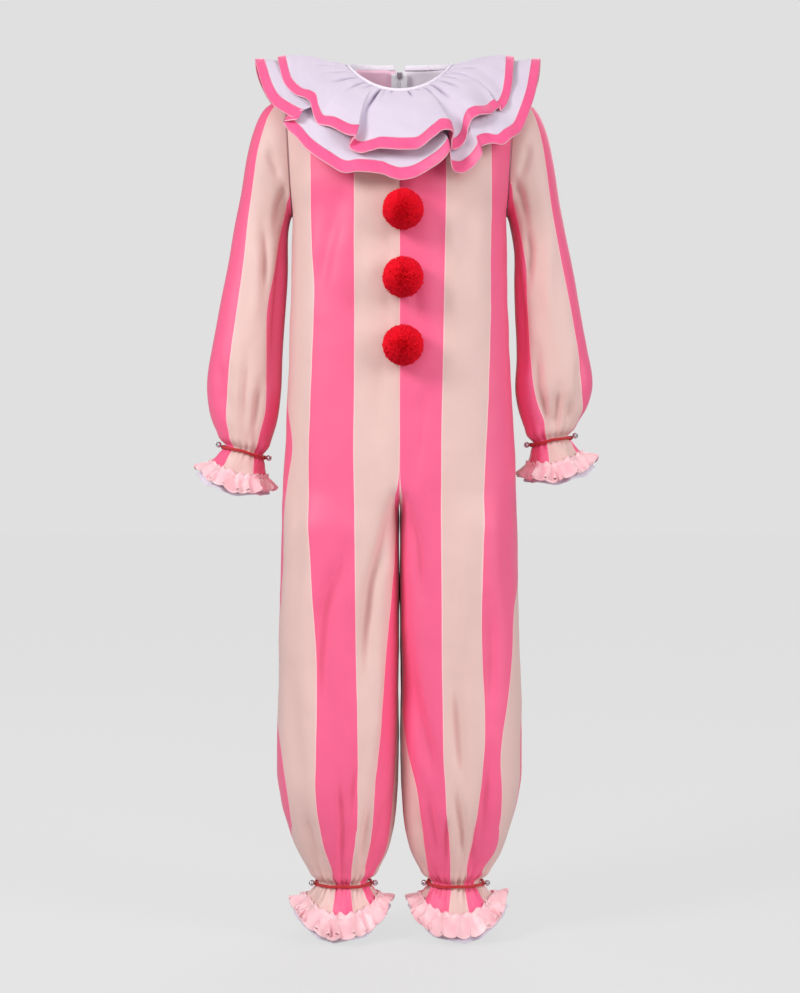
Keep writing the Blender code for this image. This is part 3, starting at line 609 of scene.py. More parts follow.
def gathers(turn, from_cord, count, seed, above, below, depth=7.5):
    """Height of the pinched folds round a cord; turn is 0 to 1 round the cuff."""
    swell = math.exp(-((abs(from_cord) - 13.0) / 9.0) ** 2)
    total = 0.6 * math.exp(-(from_cord / 26.0) ** 2) + 2.2 * swell
    here = math.floor(turn * count)
    for k in (here - 1, here, here + 1):
        pick = random.Random(seed * 1000 + k % count)
        centre = (k + 0.5 + 0.5 * (pick.random() - 0.5)) / count
        reach = 0.42 + 0.58 * pick.random() ** 1.5
        strength = 0.45 + 0.55 * pick.random()
        spread = (0.23 + 0.13 * pick.random()) / count * (1 + 1.1 * max(0.0, from_cord) / above)
        drift = 0.5 * (pick.random() - 0.5) / count * from_cord / 30.0
        if from_cord > 0:
            fade = smooth(1 - from_cord / (above * reach))
        else:
            fade = smooth(1 + from_cord / (below * (0.4 + 0.6 * reach)))
        total -= depth * strength * fade * math.exp(
            -abs((turn - centre - drift) / spread) ** 1.5)
    return total


def crease_height(x, z, creases):
    """Depth of the listed troughs and ridges at a place."""
    total = 0.0
    for path, width, depth in creases:
        if not (min(p[1] for p in path) - 2 * width < z < max(p[1] for p in path) + 2 * width):
            continue
        best, along, whole = None, 0.0, 0.0
        for (ax, az), (bx, bz) in zip(path, path[1:]):
            dx, dz = bx - ax, bz - az
            size = dx * dx + dz * dz
            part = clamp(((x - ax) * dx + (z - az) * dz) / size)
            far = math.hypot(x - ax - dx * part, z - az - dz * part)
            if best is None or far < best:
                best, along = far, whole + math.sqrt(size) * part
            whole += math.sqrt(size)
        if best < width * 2.6:
            taper = smooth(along / (0.35 * whole)) * smooth((whole - along) / (0.35 * whole))
            total += 1.5 * depth * (0.25 + 0.75 * taper) * math.exp(-(best / width) ** 2)
    return total


def sheet_mesh(name, rows, flat, ring=False):
    """Mesh of rows of points facing outwards; flat holds each point's place on the cloth."""
    wide = len(rows[0])
    quads = [[(r, c), (r, c + 1), (r + 1, c + 1), (r + 1, c)]
             for r in range(len(rows) - 1) for c in range(wide if ring else wide - 1)]
    lean = 0.0
    centres = [sum(row, Vector()) / wide for row in rows]
    for quad in quads[::7]:
        a, b, _, d = (rows[r][c % wide] for r, c in quad)
        lean += (b - a).cross(d - a).dot(a - centres[quad[0][0]])
    if lean < 0:
        quads = [quad[::-1] for quad in quads]
    mesh = bpy.data.meshes.new(name)
    mesh.from_pydata([point * MM for row in rows for point in row], [],
                     [[r * wide + c % wide for r, c in quad] for quad in quads])
    spots = mesh.uv_layers.new(name="cloth").data
    for spot, (r, c) in zip(spots, (at for quad in quads for at in quad)):
        spot.uv = flat[r][c]
    mesh.shade_smooth()
    mesh.update()
    return placed(name, mesh)


def laid_out(shares, columns, place):
    """Rows of points and rows of their places on the flat cloth, by a rule that gives both
    for a share down the sheet and a column."""
    pairs = [[place(share, column) for column in columns] for share in shares]
    return ([[point for point, _ in row] for row in pairs],
            [[spot for _, spot in row] for row in pairs])


def place_of(vertex):
    """A place rounded to a tenth of a millimetre, to find the same corner again."""
    return tuple(round(value * 10000) for value in vertex)


def shared_normals(pieces):
    """Normals that pieces sewn edge to edge have in common."""
    sums = {}
    for piece in pieces:
        for vertex in piece.data.vertices:
            spot = place_of(vertex.co)
            sums[spot] = sums.get(spot, Vector()) + vertex.normal
    return sums


def press(piece, heights, normals, wide):
    """Move a sheet's points in or out by heights in millimetres; how far each ends up below
    those beside it in its row, evened out over the rows, is kept as an attribute that the
    finishes use to paint shade into these folds."""
    sunk = [max(0.0, (heights[i - 2] + heights[i + 2]) / 2 - height)
            if 2 <= i % wide < wide - 2 else 0.0 for i, height in enumerate(heights)]
    marked = piece.data.attributes.new("pinch", "FLOAT", "POINT")
    for i in range(wide, len(sunk) - wide - 1):
        rows_beside = sum(sunk[i + step - 1] + 2 * sunk[i + step] + sunk[i + step + 1]
                          for step in (-wide, 0, wide))
        marked.data[i].value = rows_beside / 12.0
    moved = []
    for vertex, height in zip(piece.data.vertices, heights):
        moved.append(vertex.co + normals[place_of(vertex.co)].normalized() * height * MM)
    for vertex, place in zip(piece.data.vertices, moved):
        vertex.co = place
    piece.data.update()


def settled(piece):
    """Plain mesh of a piece with its modifiers applied, which are then taken off."""
    evaluated = bpy.context.evaluated_depsgraph_get()
    evaluated.update()
    made = bpy.data.meshes.new_from_object(piece.evaluated_get(evaluated))
    piece.modifiers.clear()
    return made


def thicken(piece, thickness, outside, inside=None):
    """Give a sheet its thickness on the inside and its finishes, as a plain closed mesh."""
    piece.data.materials.append(outside)
    piece.data.materials.append(inside or outside)
    wall = piece.modifiers.new("wall", "SOLIDIFY")
    wall.thickness = thickness * MM
    wall.offset = -1.0
    wall.material_offset = 1
    sheet = piece.data
    piece.data = settled(piece)
    piece.data.name = piece.name
    bpy.data.meshes.remove(sheet)


def body_panel(side, half):
    """Rows of a panel, each point's place on the flat cloth, and its rows' distances
    above the cord."""
    name = "ankle_left"
    rows = yoke_rows(half)
    joint = len(rows) - 1
    z = UNDERARM_Z - TRUNK_STEP
    while z > PLAIN_END_Z:
        rows.append(body_row(z, half, smooth((EVEN_FROM_Z - z) / (EVEN_FROM_Z - PLAIN_END_Z))))
        z -= TRUNK_STEP
    for _ in range(EASING_PASSES):
        eased = {}
        for r in range(joint - 7, joint + 6):
            for c in range(1, STEPS - 3):
                mean = (rows[r - 1][c] + rows[r + 1][c]) / 2
                eased[r, c] = rows[r][c].lerp(mean, 0.5 * smooth((STEPS - 3 - c) / 12))
        for (r, c), place in eased.items():
            rows[r][c] = place
    toward = 1.0 if half == "front" else -1.0
    bearings = [toward * 180.0 * (1 - share) for share in evenly(STEPS)]
    ends = [body_row(z, half, 1.0) for z in GATHERED_ROWS]
    throat = [[frill_point(name, b, share) for b in bearings] for share in (0.0,) + FRILL_SHARES]
    lower = glide([rows[-1]] + ends + throat[:1], THROAT_STEP)
    cord_row = len(rows) - 1 + len(lower) - 1
    rows = rows[:-1] + lower[:-1] + glide(throat, FRILL_STEP)
    if half == "back":
        for row in rows:
            open_by = ZIP_HALF_GAP * smooth((row[0].z + 556.0) / 16.0)
            for point in row:
                if point.x < CREASE_X:
                    point.x += open_by * (1 - max(0.0, point.x) / CREASE_X)
    down = rows_down(rows)
    girth = lengths(body_row(EVEN_FROM_Z, half))[-1]
    viewer = -1.0 if half == "front" else 1.0
    marks, counts = None, []
    for r, row in enumerate(rows):
        if row[0].z > -1212.0 and r < cord_row:
            width = STRIPE * min(1.0, lengths(row)[-1] / girth)
            marks = stripe_marks(row, STRIPE_EDGES[side], viewer, width * 0.85,
                                 round(WALL_STEPS * 0.45))
        counts.append(marks)
    flat = laid_flat(counts, down)
    return (mirrored(rows, -1.0 if side == "right" else 1.0), flat,
            [down[cord_row] - d for d in down])


def math_node(tree, operation, *values):
    return node(tree, "ShaderNodeMath", dict(enumerate(values)), operation=operation)


def vector_node(tree, operation, first, second):
    """Maths on vectors or colours; a scale's second value is a single number."""
    return node(tree, "ShaderNodeVectorMath", {
        0: first, "Scale" if operation == "SCALE" else 1: second}, operation=operation)


def colour_mix(tree, factor, first, second):
    return node(tree, "ShaderNodeMix", {0: factor, 6: first, 7: second},
                data_type="RGBA").outputs[2]


def ranged(tree, value, low, high, start=0.0, end=1.0):
    """A value spread from start..end to low..high."""
    return node(tree, "ShaderNodeMapRange", {
        "Value": value, "From Min": start, "From Max": end, "To Min": low, "To Max": high})


def mottle(tree, where, scale, detail):
    """Soft noise over a surface."""
    return node(tree, "ShaderNodeTexNoise", {"Vector": where, "Scale": scale, "Detail": detail})


def mask(tree, name):
    """A mesh's own values, kept as a named attribute."""
    return node(tree, "ShaderNodeAttribute", attribute_name=name).outputs["Fac"]


def relief(shader, height, strength, distance):
    """Raise a finish by a height, over what already shapes it."""
    bump = node(shader.id_data, "ShaderNodeBump", {
        "Height": height, "Strength": strength, "Distance": distance})
    for below in [link.from_socket for link in shader.inputs["Normal"].links]:
        plug(bump, "Normal", below)
    plug(shader, "Normal", bump)


def new_group(name, kind, takes, gives):
    """Node group, its inputs' sockets and its output node. Each input is given as its
    default value or its type of socket."""
    group = bpy.data.node_groups.new(name, kind)
    for label, default in takes.items():
        sort = default if isinstance(default, str) else type(default).__name__.title()
        made = group.interface.new_socket(label, in_out="INPUT", socket_type="NodeSocket" + sort)
        if default != sort:
            made.default_value = default
    for label, sort in gives.items():
        group.interface.new_socket(label, in_out="OUTPUT", socket_type="NodeSocket" + sort)
    return group, group.nodes.new("NodeGroupInput").outputs, group.nodes.new("NodeGroupOutput")


def thread_group():
    """Over-and-under threads: their height, and a mask of slightly uneven yarns."""
    group, ask, leave = new_group("woven_threads", "ShaderNodeTree", {
        "Vector": "Vector", "Threads": 2200.0, "Slub": 0.3}, {"Height": "Float", "Yarn": "Float"})
    parts = node(group, "ShaderNodeSeparateXYZ", {
        0: vector_node(group, "SCALE", ask["Vector"], ask["Threads"])})
    waves = [math_node(group, "SINE", math_node(group, "MULTIPLY", parts.outputs[axis], math.pi))
             for axis in "XY"]
    over = math_node(group, "GREATER_THAN", math_node(group, "MULTIPLY", *waves), 0.0)
    along, across = (math_node(group, "ABSOLUTE", wave) for wave in waves)
    pick = node(group, "ShaderNodeMix", {0: over, 2: along, 3: across})
    yarn = mottle(group, vector_node(group, "MULTIPLY", ask["Vector"], (2600.0, 90.0, 0.0)),
                  1.0, 2.0)
    uneven = math_node(group, "MULTIPLY", yarn, ask["Slub"])
    plug(leave, "Height", math_node(group, "ADD", pick, uneven))
    plug(leave, "Yarn", yarn)
    return group


threads = thread_group()


def weave(shader, threads_per_metre, slub, bump):
    """Weave threads into a finish's relief; gives back its nodes' tree, the place on the
    cloth and the yarn mask."""
    tree = shader.id_data
    cloth_map = node(tree, "ShaderNodeUVMap", uv_map="cloth")
    woven = node(tree, "ShaderNodeGroup", {
        "Vector": cloth_map, "Threads": threads_per_metre, "Slub": slub}, node_tree=threads)
    relief(shader, woven, bump, 0.00012)
    return tree, cloth_map, woven.outputs["Yarn"]


def in_pinches(tree, colour, left, start, end):
    """The colour with painted shade in folds pinched deeper than start: only part of it is left
    there.
    """
    # Painted shade: folds pinched deep are darkened to the share of the colour that is left.
    deep = vector_node(tree, "MULTIPLY", colour, left)
    return colour_mix(tree, ranged(tree, mask(tree, "pinch"), 0.0, 1.0, start, end), colour, deep)


def striped_finish(name, pink, cream, line, pink_first, roughness, sheen):
    """Stripes of two colours with a fine pale edge where they meet, and painted shade in their
    pinched folds.
    """
    made, shader = material(name, roughness, sheen)
    tree, cloth_map, yarn = weave(shader, 2200.0, 0.35, 0.35)
    across = node(tree, "ShaderNodeSeparateXYZ", {0: cloth_map})
    count = math_node(tree, "ADD", math_node(tree, "DIVIDE", across, STRIPE * MM),
                      40.0 if pink_first else 41.0)
    is_cream = math_node(tree, "GREATER_THAN", math_node(tree, "MODULO", count, 2.0), 1.0)
    off_middle = math_node(tree, "SUBTRACT", math_node(tree, "FRACT", count), 0.5)
    edge = ranged(tree, math_node(tree, "ABSOLUTE", off_middle), 0.0, 0.8, 0.4885, 0.4935)
    soft = ranged(tree, mottle(tree, cloth_map, 14.0, 3.0), 0.95, 1.05)
    tone = math_node(tree, "MULTIPLY", soft, ranged(tree, yarn, 0.96, 1.04))
    toned = vector_node(tree, "SCALE", colour_mix(tree, is_cream, pink, cream), tone)
    striped = colour_mix(tree, edge, toned, line)
    # Painted shade darkens the stripes in pinched folds.
    plug(shader, "Base Color", in_pinches(tree, striped, (0.72, 0.44, 0.46), 1.2, 4.6))
    return made


PINK, CREAM = shade(250, 98, 144), shade(232, 194, 188)
EDGE_LINE = shade(255, 214, 214)
PINK_BACK, CREAM_BACK = shade(250, 200, 222), shade(246, 236, 247)


def satin_sides(right_side, wrong_side, pink_first):
    """The satin's printed right side and its pale wrong side."""
    return (striped_finish(right_side, PINK, CREAM, EDGE_LINE, pink_first, 0.44, 0.15),
            striped_finish(wrong_side, PINK_BACK, CREAM_BACK, CREAM_BACK, pink_first, 0.75, 0.1))


satin = {first: satin_sides("satin_" + first + "_first", "satin_wrong_side_" + first + "_first",
                            first == "pink") for first in ("pink", "cream")}

seams = {"ruff_stitches": [], "neck_stitches": [], "ribbon_stitches": [], "zip_stitches": []}


def seam_line(piece, indexes, proud=0.1):
    """A line over a sheet's points, a little proud of it, in millimetres."""
    return [(piece.data.vertices[i].co + piece.data.vertices[i].normal * proud * MM) / MM
            for i in indexes]


panels = {}
for side in ("left", "right"):
    for half in ("front", "back"):
        name = half + "_" + side
        rows, flat, above_cord = body_panel(side, half)
        panels[name] = (sheet_mesh(name + "_panel", rows, flat), rows, above_cord)
body_normals = shared_normals(piece for piece, _, _ in panels.values())
for name, (piece, rows, above_cord) in panels.items():
    half, side = name.split("_")
    viewer = -1.0 if half == "front" else 1.0
    heights = []
    for r, row in enumerate(rows):
        above = above_cord[r]
        for c, point in enumerate(row):
            x, z = seen_from(point, viewer)
            turn = 0.5 * c / STEPS if half == "front" else 1.0 - 0.5 * c / STEPS
            height = crease_height(x, z, CREASES[name]) * smooth((above + 20.0) / 30.0)
            if above < 110.0:
                height += gathers(turn, above, CUFFS["ankle_" + side]["gathers"],
                                  7 if side == "left" else 11, 100.0, 46.0)
            if above > -8.0:
                height *= 0.8 + 0.2 * smooth(above / 4.0) if above > 0 else 1.0
                height += 2.2 * noise.noise(point * 0.011 + Vector((0, 0, 3.7)))
                height += 0.7 * noise.noise(point * 0.034)
            if row[0].z > -1150.0:
                from_centre = abs(point.x) if row[0].z > -690.0 else 99.0
                seam = math.exp(-(from_centre / 2.4) ** 2) if half == "front" else 0.0
                seam = max(seam, math.exp(-((STEPS - c) * 4.0 / 3.0) ** 2) * 0.8)
                height = height * (1 - seam) - 0.9 * seam
            heights.append(height)
    press(piece, heights, body_normals, STEPS + 1)
    if half == "back":
        beside = [r * (STEPS + 1) + 5 for r in range(2, len(rows)) if rows[r][0].z > ZIP_END_Z - 4]
        seams["zip_stitches"].append(seam_line(piece, beside))
    first_stripe = "pink" if name in ("front_left", "back_right") else "cream"
    thicken(piece, CLOTH, *satin[first_stripe])
    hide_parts(name)
    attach(piece, "suit")

# Sleeves. One panel each of the same satin, eased into the armhole and closed along the
# underarm, gathered by a cord above a short frill. The stripes follow the arm.
SLEEVE_ENDS = {
    "right": (
        (178.5, -490, 289, -476, 52, 53, 10),
        (184, -530, 285, -518, 45, 46, 10),
        (195, -564, 272, -551, 36, 36, 10),
    ),
    "left": (
        (174, -486, 289.5, -474, 52, 53, 10),
        (180, -520, 282, -510, 45, 46, 10),
        (190, -549, 265, -539, 36, 36, 10),
    ),
}
# Edges of the broad cream stripe, seen from the front: by the body and by the outer arm.
#    z        inner  outer
SLEEVE_STRIPES = {
    "right": (
        (-60, 150, 190), (-110, 157, 210), (-200, 165, 223.5), (-290, 183, 233.5),
        (-380, 200, 246), (-470, 200, 258), (-515, 201, 261), (-560, 211.5, 256.5),
    ),
    "left": (
        (-60, 150, 196), (-110, 160, 214), (-200, 169, 226.5), (-290, 188, 241.5),
        (-380, 192.5, 259.5), (-470, 199.5, 274.5), (-515, 208.5, 276), (-545, 222, 262),
    ),
}
SLEEVE_CREASES = {
    "sleeve_right": (
        (((-168, -205), (-176, -290), (-184, -380), (-192, -470)), 8, -6.5),
        (((-205, -230), (-201, -285), (-203, -340)), 7, -4.5),
        (((-214, -250), (-213, -330), (-220, -400)), 9, 3),
        (((-164, -170), (-178, -205), (-186, -250)), 7, -4.5),
        (((-199, -118), (-190, -142), (-178, -170)), 7, -3.5),
        (((-228, -425), (-234, -500), (-232, -555)), 8, -4),
        (((-250, -430), (-256, -500), (-250, -548)), 8, -3),
        (((-208, -470), (-214, -520), (-219, -556)), 7, -4), (((-270, -440), (-266, -520)), 8, -3),
    ),
    "sleeve_left": (
        (((167, -210), (172, -300), (181, -380), (186, -450)), 8, -6.5),
        (((189, -235), (196, -275), (192, -330)), 7, -5),
        (((168, -165), (180, -190), (190, -235)), 7, -4.5),
        (((197, -110), (189, -140), (178, -170)), 7, -3.5),
        (((226, -240), (222, -330), (230, -410)), 9, 3),
        (((206, -420), (208, -480), (216, -535)), 8, -4),
        (((240, -480), (236, -520), (228, -552)), 8, -5.5), (((258, -500), (256, -535)), 7, -4.5),
        (((214, -490), (222, -540)), 6, -4), (((272, -430), (270, -520)), 8, -3),
    ),
}
SLEEVE_HALF_STEPS = 50
SLEEVE_STEP = 4.2
SLEEVE_FRILL_STEP = 2.4


def sleeve_panel(side):
    """Rows of a sleeve from the armhole to the frill, starting at the underarm seam."""
    name = "wrist_" + side
    shares = evenly(SLEEVE_HALF_STEPS)

    def whole(ring):
        front = half_ring(ring, 1.0, shares)
        back = half_ring(ring, -1.0, shares)
        return front[::-1] + back[1:-1]

    guides = mirrored([whole(ring) for ring in SLEEVE_TOP + SLEEVE_ENDS[side]],
                      -1.0 if side == "right" else 1.0)
    steps = 2 * SLEEVE_HALF_STEPS
    bearings = [180.0 - 360.0 * i / steps for i in range(steps)]
    throat = [[frill_point(name, b, share) for b in bearings] for share in (0.0,) + FRILL_SHARES]
    upper = glide(guides + throat[:1], SLEEVE_STEP)
    cord_row = len(upper) - 1
    rows = upper[:-1] + glide(throat, SLEEVE_FRILL_STEP)
    down = rows_down(rows)
    girth = lengths(guides[7] + guides[7][:1])[-1]
    counts, marks = [], None
    for r, row in enumerate(rows):
        around = row + row[:1]
        if r < cord_row - 6:
            width = STRIPE * min(1.0, lengths(around)[-1] / girth)
            front = around[:SLEEVE_HALF_STEPS + 3]
            front_marks = stripe_marks(front, SLEEVE_STRIPES[side], -1.0, width, 0)
            lead = lengths(around)
            last = len(front) - 1
            marks = front_marks + [front_marks[-1] + (at - lead[last]) / width
                                   for at in lead[last + 1:]]
        counts.append(marks)
    return rows, laid_flat(counts, down), [down[cord_row] - d for d in down]


sleeve_satin = satin_sides("sleeve_satin", "sleeve_wrong_side", False)
for side in ("left", "right"):
    name = "sleeve_" + side
    rows, flat, above_cord = sleeve_panel(side)
    piece = sheet_mesh(name + "_panel", rows, flat, ring=True)
    heights = []
    for r, row in enumerate(rows):
        above = above_cord[r]
        for c, point in enumerate(row):
            x, z = seen_from(point)
            height = 0.0
            if c <= SLEEVE_HALF_STEPS:
                height += crease_height(x, z, SLEEVE_CREASES[name])
            else:
                back_x = x + (3.0 if x > 0 else -3.0)
                height += 0.8 * crease_height(back_x, z + 14.0, SLEEVE_CREASES[name])
            height *= smooth((above + 10.0) / 25.0)
            if above < 80.0:
                height += gathers(c / len(row), above, CUFFS["wrist_" + side]["gathers"],
                                  3 if side == "left" else 5, 66.0, 30.0, 5.4)
            height += 1.6 * noise.noise(point * 0.014 + Vector((9.1, 0, 0))) * smooth(above / 30.0)
            height *= smooth(r / 6.0)
            heights.append(height - 0.7 * math.exp(-(r / 1.2) ** 2))
    press(piece, heights, shared_normals([piece]), len(rows[0]))
    thicken(piece, CLOTH, *sleeve_satin)
    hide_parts(name)
    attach(piece, "suit")

# Ruff. Two circular tiers of crisp white cloth gathered into the neck seam, each hem bound
# in a broad band of pink satin. They fall in a few deep folds and have a slit at the back.
TIERS = {
    "collar_lower": {"side": (134, 12), "front": (72, -195), "back": (92, -103),
                     "lift": 2.4, "spring": 1.5, "fullness": 0.7, "seam": 0.885,
                     "cut": (0.98, 0.135), "seed": 900},
    "collar_upper": {"side": (106, 16.5), "front": (76, -152), "back": (80, -65),
                     "lift": 5.2, "spring": 8, "fullness": 1.05, "seam": 0.87,
                     "cut": (0.9, 0.11), "seed": 400},
}
# Folds at the back of each tier.
#    at     height  swing  spread
RUFF_FOLDS = {
    "collar_lower": (
        (-52, 9, 14, 7), (232, -9, 14, 7),
    ),
    "collar_upper": (
        (-48, 7, 12, 7), (230, -7, 12, 7),
    ),
}
# The hems round the front, as seen square from the front: where each bearing of the cloth
# ends up across and up, and how far it stands forward of an even fall.
#    bearing across height forward
HEMS = {
    "collar_lower": (
        (0, 212, 12, 0), (14, 205, -34, 0), (25, 190, -80, 0), (30, 181, -98, 1),
        (35, 167, -108, 3), (40, 154, -117, 2), (43.5, 140, -114, -2), (46.5, 130, -116, -1),
        (48, 122, -122, 2), (49.5, 124, -130, 4), (51.5, 119, -140, 2), (55, 107, -152, -1),
        (59, 94, -158, -3), (61.5, 83, -156, -4), (63, 79, -148, -2), (64.5, 77, -136, 2),
        (66, 76, -126, 6), (68, 71, -134, 7), (71, 61, -144, 6), (75, 47, -153, 4),
        (83, 17, -168, 2), (87, 2, -170, 2), (91, -13, -166, 1), (96, -28, -160, 0),
        (105.5, -65, -157, 1), (109.5, -80, -159, 1), (118, -110, -144, 0), (126.5, -140, -123, 0),
        (132, -155, -106, -1), (136, -169, -92, -3), (137.5, -175, -81, -4), (139.5, -152, -81, 5),
        (143, -164, -75, 4), (155, -194, -52, 0), (163.5, -206, -28, 0), (180, -217, 12, 0),
    ),
    "collar_upper": (
        (0, 172, 15, 0), (15, 170, -16, 0), (21, 166, -42, 0), (25.5, 160, -58, 3),
        (29, 152, -67, 3), (31, 152, -57, -3), (34.5, 145, -63, -3), (38.5, 136, -70, 0),
        (43.5, 122, -72, 2), (48.5, 109, -78, 0), (51.5, 103, -90, -4), (54.5, 100, -106, -7),
        (58.5, 89, -120, -6), (62, 79, -123, -3), (63.3, 79, -112, 0), (64.6, 82, -102, 2),
        (67, 76, -96, 5), (69, 68, -96, 6), (74, 53, -105, 5), (84.5, 22, -124, 2),
        (89, 5, -124, 1), (99.5, -29, -122, 0), (104, -44, -126, 1), (108, -58, -129, 0),
        (112, -71, -124, -3), (113.5, -76, -118, -3), (115, -65, -105, 5), (118, -74, -104, 4),
        (129, -107, -88, -1), (134, -121, -86, 0), (138, -130, -70, 2), (141.5, -134, -54, 2),
        (145.5, -143, -46, 0), (151, -155, -42, 0), (163.5, -175, -20, 0), (180, -183, 15, 0),
    ),
}
# Gathers that run out from the neck seam: bearing at the neck and at its end, how far it
# runs as a share of the tier, width in degrees and depth.
#    neck   end    run   width  depth
LONG_GATHERS = (
    (107.5, 113, 0.66, 1.3, -7), (104.6, 108.5, 0.6, 1.9, 3.6), (97, 98, 0.22, 1.2, -2.6),
    (82, 79, 0.34, 1.3, -4.4), (74, 70, 0.2, 1.2, -3), (66, 61, 0.5, 1.4, -4.2),
    (58.5, 52, 0.6, 1.3, -5), (48.5, 43, 0.55, 1.4, -4.6), (40, 37, 0.4, 1.3, -3.4),
    (31, 28, 0.6, 1.6, -4.2), (20, 17, 0.5, 1.6, -3.4), (3, 1, 0.5, 2, -3.2),
    (118, 124, 0.3, 1.3, -3.4), (127, 132, 0.52, 1.5, -4), (138, 144, 0.6, 1.5, -4.4),
    (151, 155, 0.5, 1.7, -3.8), (166, 168, 0.5, 1.9, -3.6), (182, 184, 0.45, 2.2, -3.2),
    (205, 207, 0.5, 2.2, -3.6), (222, 226, 0.55, 2.2, -4), (243, 245, 0.4, 2, -3.2),
    (-20, -22, 0.5, 2.2, -3.6), (-40, -44, 0.55, 2.2, -4), (-64, -66, 0.4, 2, -3.2),
)
RUFF_SLIT = 6.5
RUFF_CLOTH = 1.2
BAND_CLOTH = 1.6
RUFF_STEP = 0.75
RUFF_ROWS = 23
BAND_ROWS = 8
PUCKERS = 84


def fold_shape(x):
    """Rises before a fold, falls after it and fades away from it."""
    return -math.sqrt(2 * math.e) * x * math.exp(-x * x)


def even_fall(name, bearing, share, lift=0.0):
    """Point of a ruff tier that falls without folds."""
    tier = TIERS[name]
    c, s = cos_sin(bearing)
    end = tier["front"] if s > 0 else tier["back"]
    reach = tier["side"][0] + (end[0] - tier["side"][0]) * s * s
    height = tier["side"][1] + (end[1] - tier["side"][1]) * abs(s) ** tier["fullness"]
    start = neck_point(bearing)
    fall = start.z - height
    up = Vector((0.0, 0.0, 1.0))
    away = Vector((c, -s, 0.0))
    normal = (away * fall + up * reach).normalized()
    return (start + away * (0.8 + reach * share ** 0.9)
            + up * (tier["lift"] - (fall + tier["lift"]) * share ** 1.2
                    + tier["spring"] * 4 * share * (1 - share)) + normal * lift)


@lru_cache(maxsize=None)
def hem_shift(name, bearing):
    """How far the front's hem is from an even fall."""
    held = clamp(bearing, 0.0, 180.0)
    fade = smooth(1.0 - abs(bearing - held) / 14.0)
    if fade == 0.0:
        return Vector()
    across, height, forward = at_level(HEMS[name], held)
    plain = even_fall(name, held, 1.0)
    nearer = (VIEW_DISTANCE + plain.y) / VIEW_DISTANCE
    hem = Vector((across * nearer, plain.y - 1.6 * forward,
                  VIEW_HEIGHT + (height - VIEW_HEIGHT) * nearer))
    return (hem - plain) * fade


def ruff_point(name, bearing, share):
    """Point of a ruff tier, share 0 at the neck seam and 1 at the hem."""
    fade = share * share
    swing = lift = 0.0
    for at, height, run, spread in RUFF_FOLDS[name]:
        shape = fold_shape((bearing - at) / spread)
        swing += run * shape
        lift += height * shape
    radius = NECK_HALF_WIDTH + TIERS[name]["side"][0] * share
    turned = bearing + math.degrees(swing * fade / radius)
    depth = min(1.0, share / TIERS[name]["seam"]) ** 2.3
    return even_fall(name, turned, share, lift * fade) + hem_shift(name, bearing) * depth


def slit_bearing(name, bearing, share):
    """A bearing drawn in a little, so that the tier stops short of the slit at the back."""
    margin = math.degrees(math.asin(RUFF_SLIT / (NECK_BACK[0] + TIERS[name]["back"][0] * share)))
    return 90.0 + (bearing - 90.0) * (360.0 - 2 * margin) / 360.0


def pucker(bearing, share, seed):
    """Fine puckers along the neck seam and the long gathers that run out of it."""
    height = 0.0
    turn = (bearing + 90.0) / 360.0 * PUCKERS
    for k in (math.floor(turn) - 1, math.floor(turn), math.floor(turn) + 1):
        pick = random.Random(seed + k)
        centre = k + 0.5 + 0.4 * (pick.random() - 0.5)
        run = 0.07 + 0.18 * pick.random() ** 2
        height -= 1.7 * (0.4 + 0.6 * pick.random()) * smooth(1 - share / run) * math.exp(
            -((turn - centre) / 0.34) ** 2)
    for neck, end, run, width, depth in LONG_GATHERS:
        part = share / run
        if part < 1.0:
            at = neck + (end - neck) * part
            spread = width * (0.6 + 0.8 * part)
            strength = smooth(part / (0.1 if depth < 0 else 0.4)) * smooth((1 - part) / 0.6)
            height += depth * strength * math.exp(-abs((bearing - at) / spread) ** 1.6)
    return height


def ruff_sheet(name, piece_name, shares, seed):
    """Sheet of one tier between shares of its depth, with each vertex's small puckering."""
    bearings = [-90.0 + RUFF_STEP * i for i in range(round(360.0 / RUFF_STEP) + 1)]
    reach = TIERS[name]["side"][0]

    def tier_place(share, b):
        return (ruff_point(name, slit_bearing(name, b, share), share),
                (math.radians(b) * (NECK_HALF_WIDTH + reach * share) * MM, share * reach * MM))

    heights = [pucker(b, share, seed)
               + 1.5 * share * noise.noise(Vector((b * 0.05, share * 2.0, seed)))
               for share in shares for b in bearings]
    return sheet_mesh(piece_name, *laid_out(shares, bearings, tier_place)), heights


def plain_finish(name, colour, fold_colour, roughness, sheen, threads_per_metre, bump):
    """Plain woven cloth: uneven yarns, slight changes of tone over its surface and painted shade
    in its pinched folds.
    """
    made, shader = material(name, roughness, sheen)
    tree, cloth_map, yarn = weave(shader, threads_per_metre, 0.3, bump)
    soft = ranged(tree, mottle(tree, cloth_map, 30.0, 3.0), 0.0, 1.0, 0.3, 0.7)
    toned = vector_node(tree, "SCALE", colour_mix(tree, soft, colour, fold_colour),
                        ranged(tree, yarn, 0.96, 1.04))
    # Painted shade darkens the cloth in pinched folds.
    plug(shader, "Base Color", in_pinches(tree, toned, (0.56, 0.5, 0.6), 0.2, 2.0))
    return made


ruff_white = plain_finish("ruff_cloth", shade(224, 211, 228), shade(219, 205, 224), 0.7, 0.12,
                          1900.0, 0.4)


def band_finish():
    """Pink satin with a pale line along both sides of the band."""
    made, shader = material("band_satin", 0.36, 0.2)
    tree, cloth_map, _ = weave(shader, 2600.0, 0.5, 0.3)
    rib = ranged(tree, mottle(tree, cloth_map, 60.0, 2.0), 0.0, 1.0, 0.3, 0.7)
    base = colour_mix(tree, rib, shade(250, 98, 152), shade(243, 88, 142))
    rim = ranged(tree, mask(tree, "band_edge"), 0.0, 1.0, 0.90, 0.95)
    plug(shader, "Base Color", colour_mix(tree, rim, base, shade(255, 196, 212)))
    return made


band_pink = band_finish()

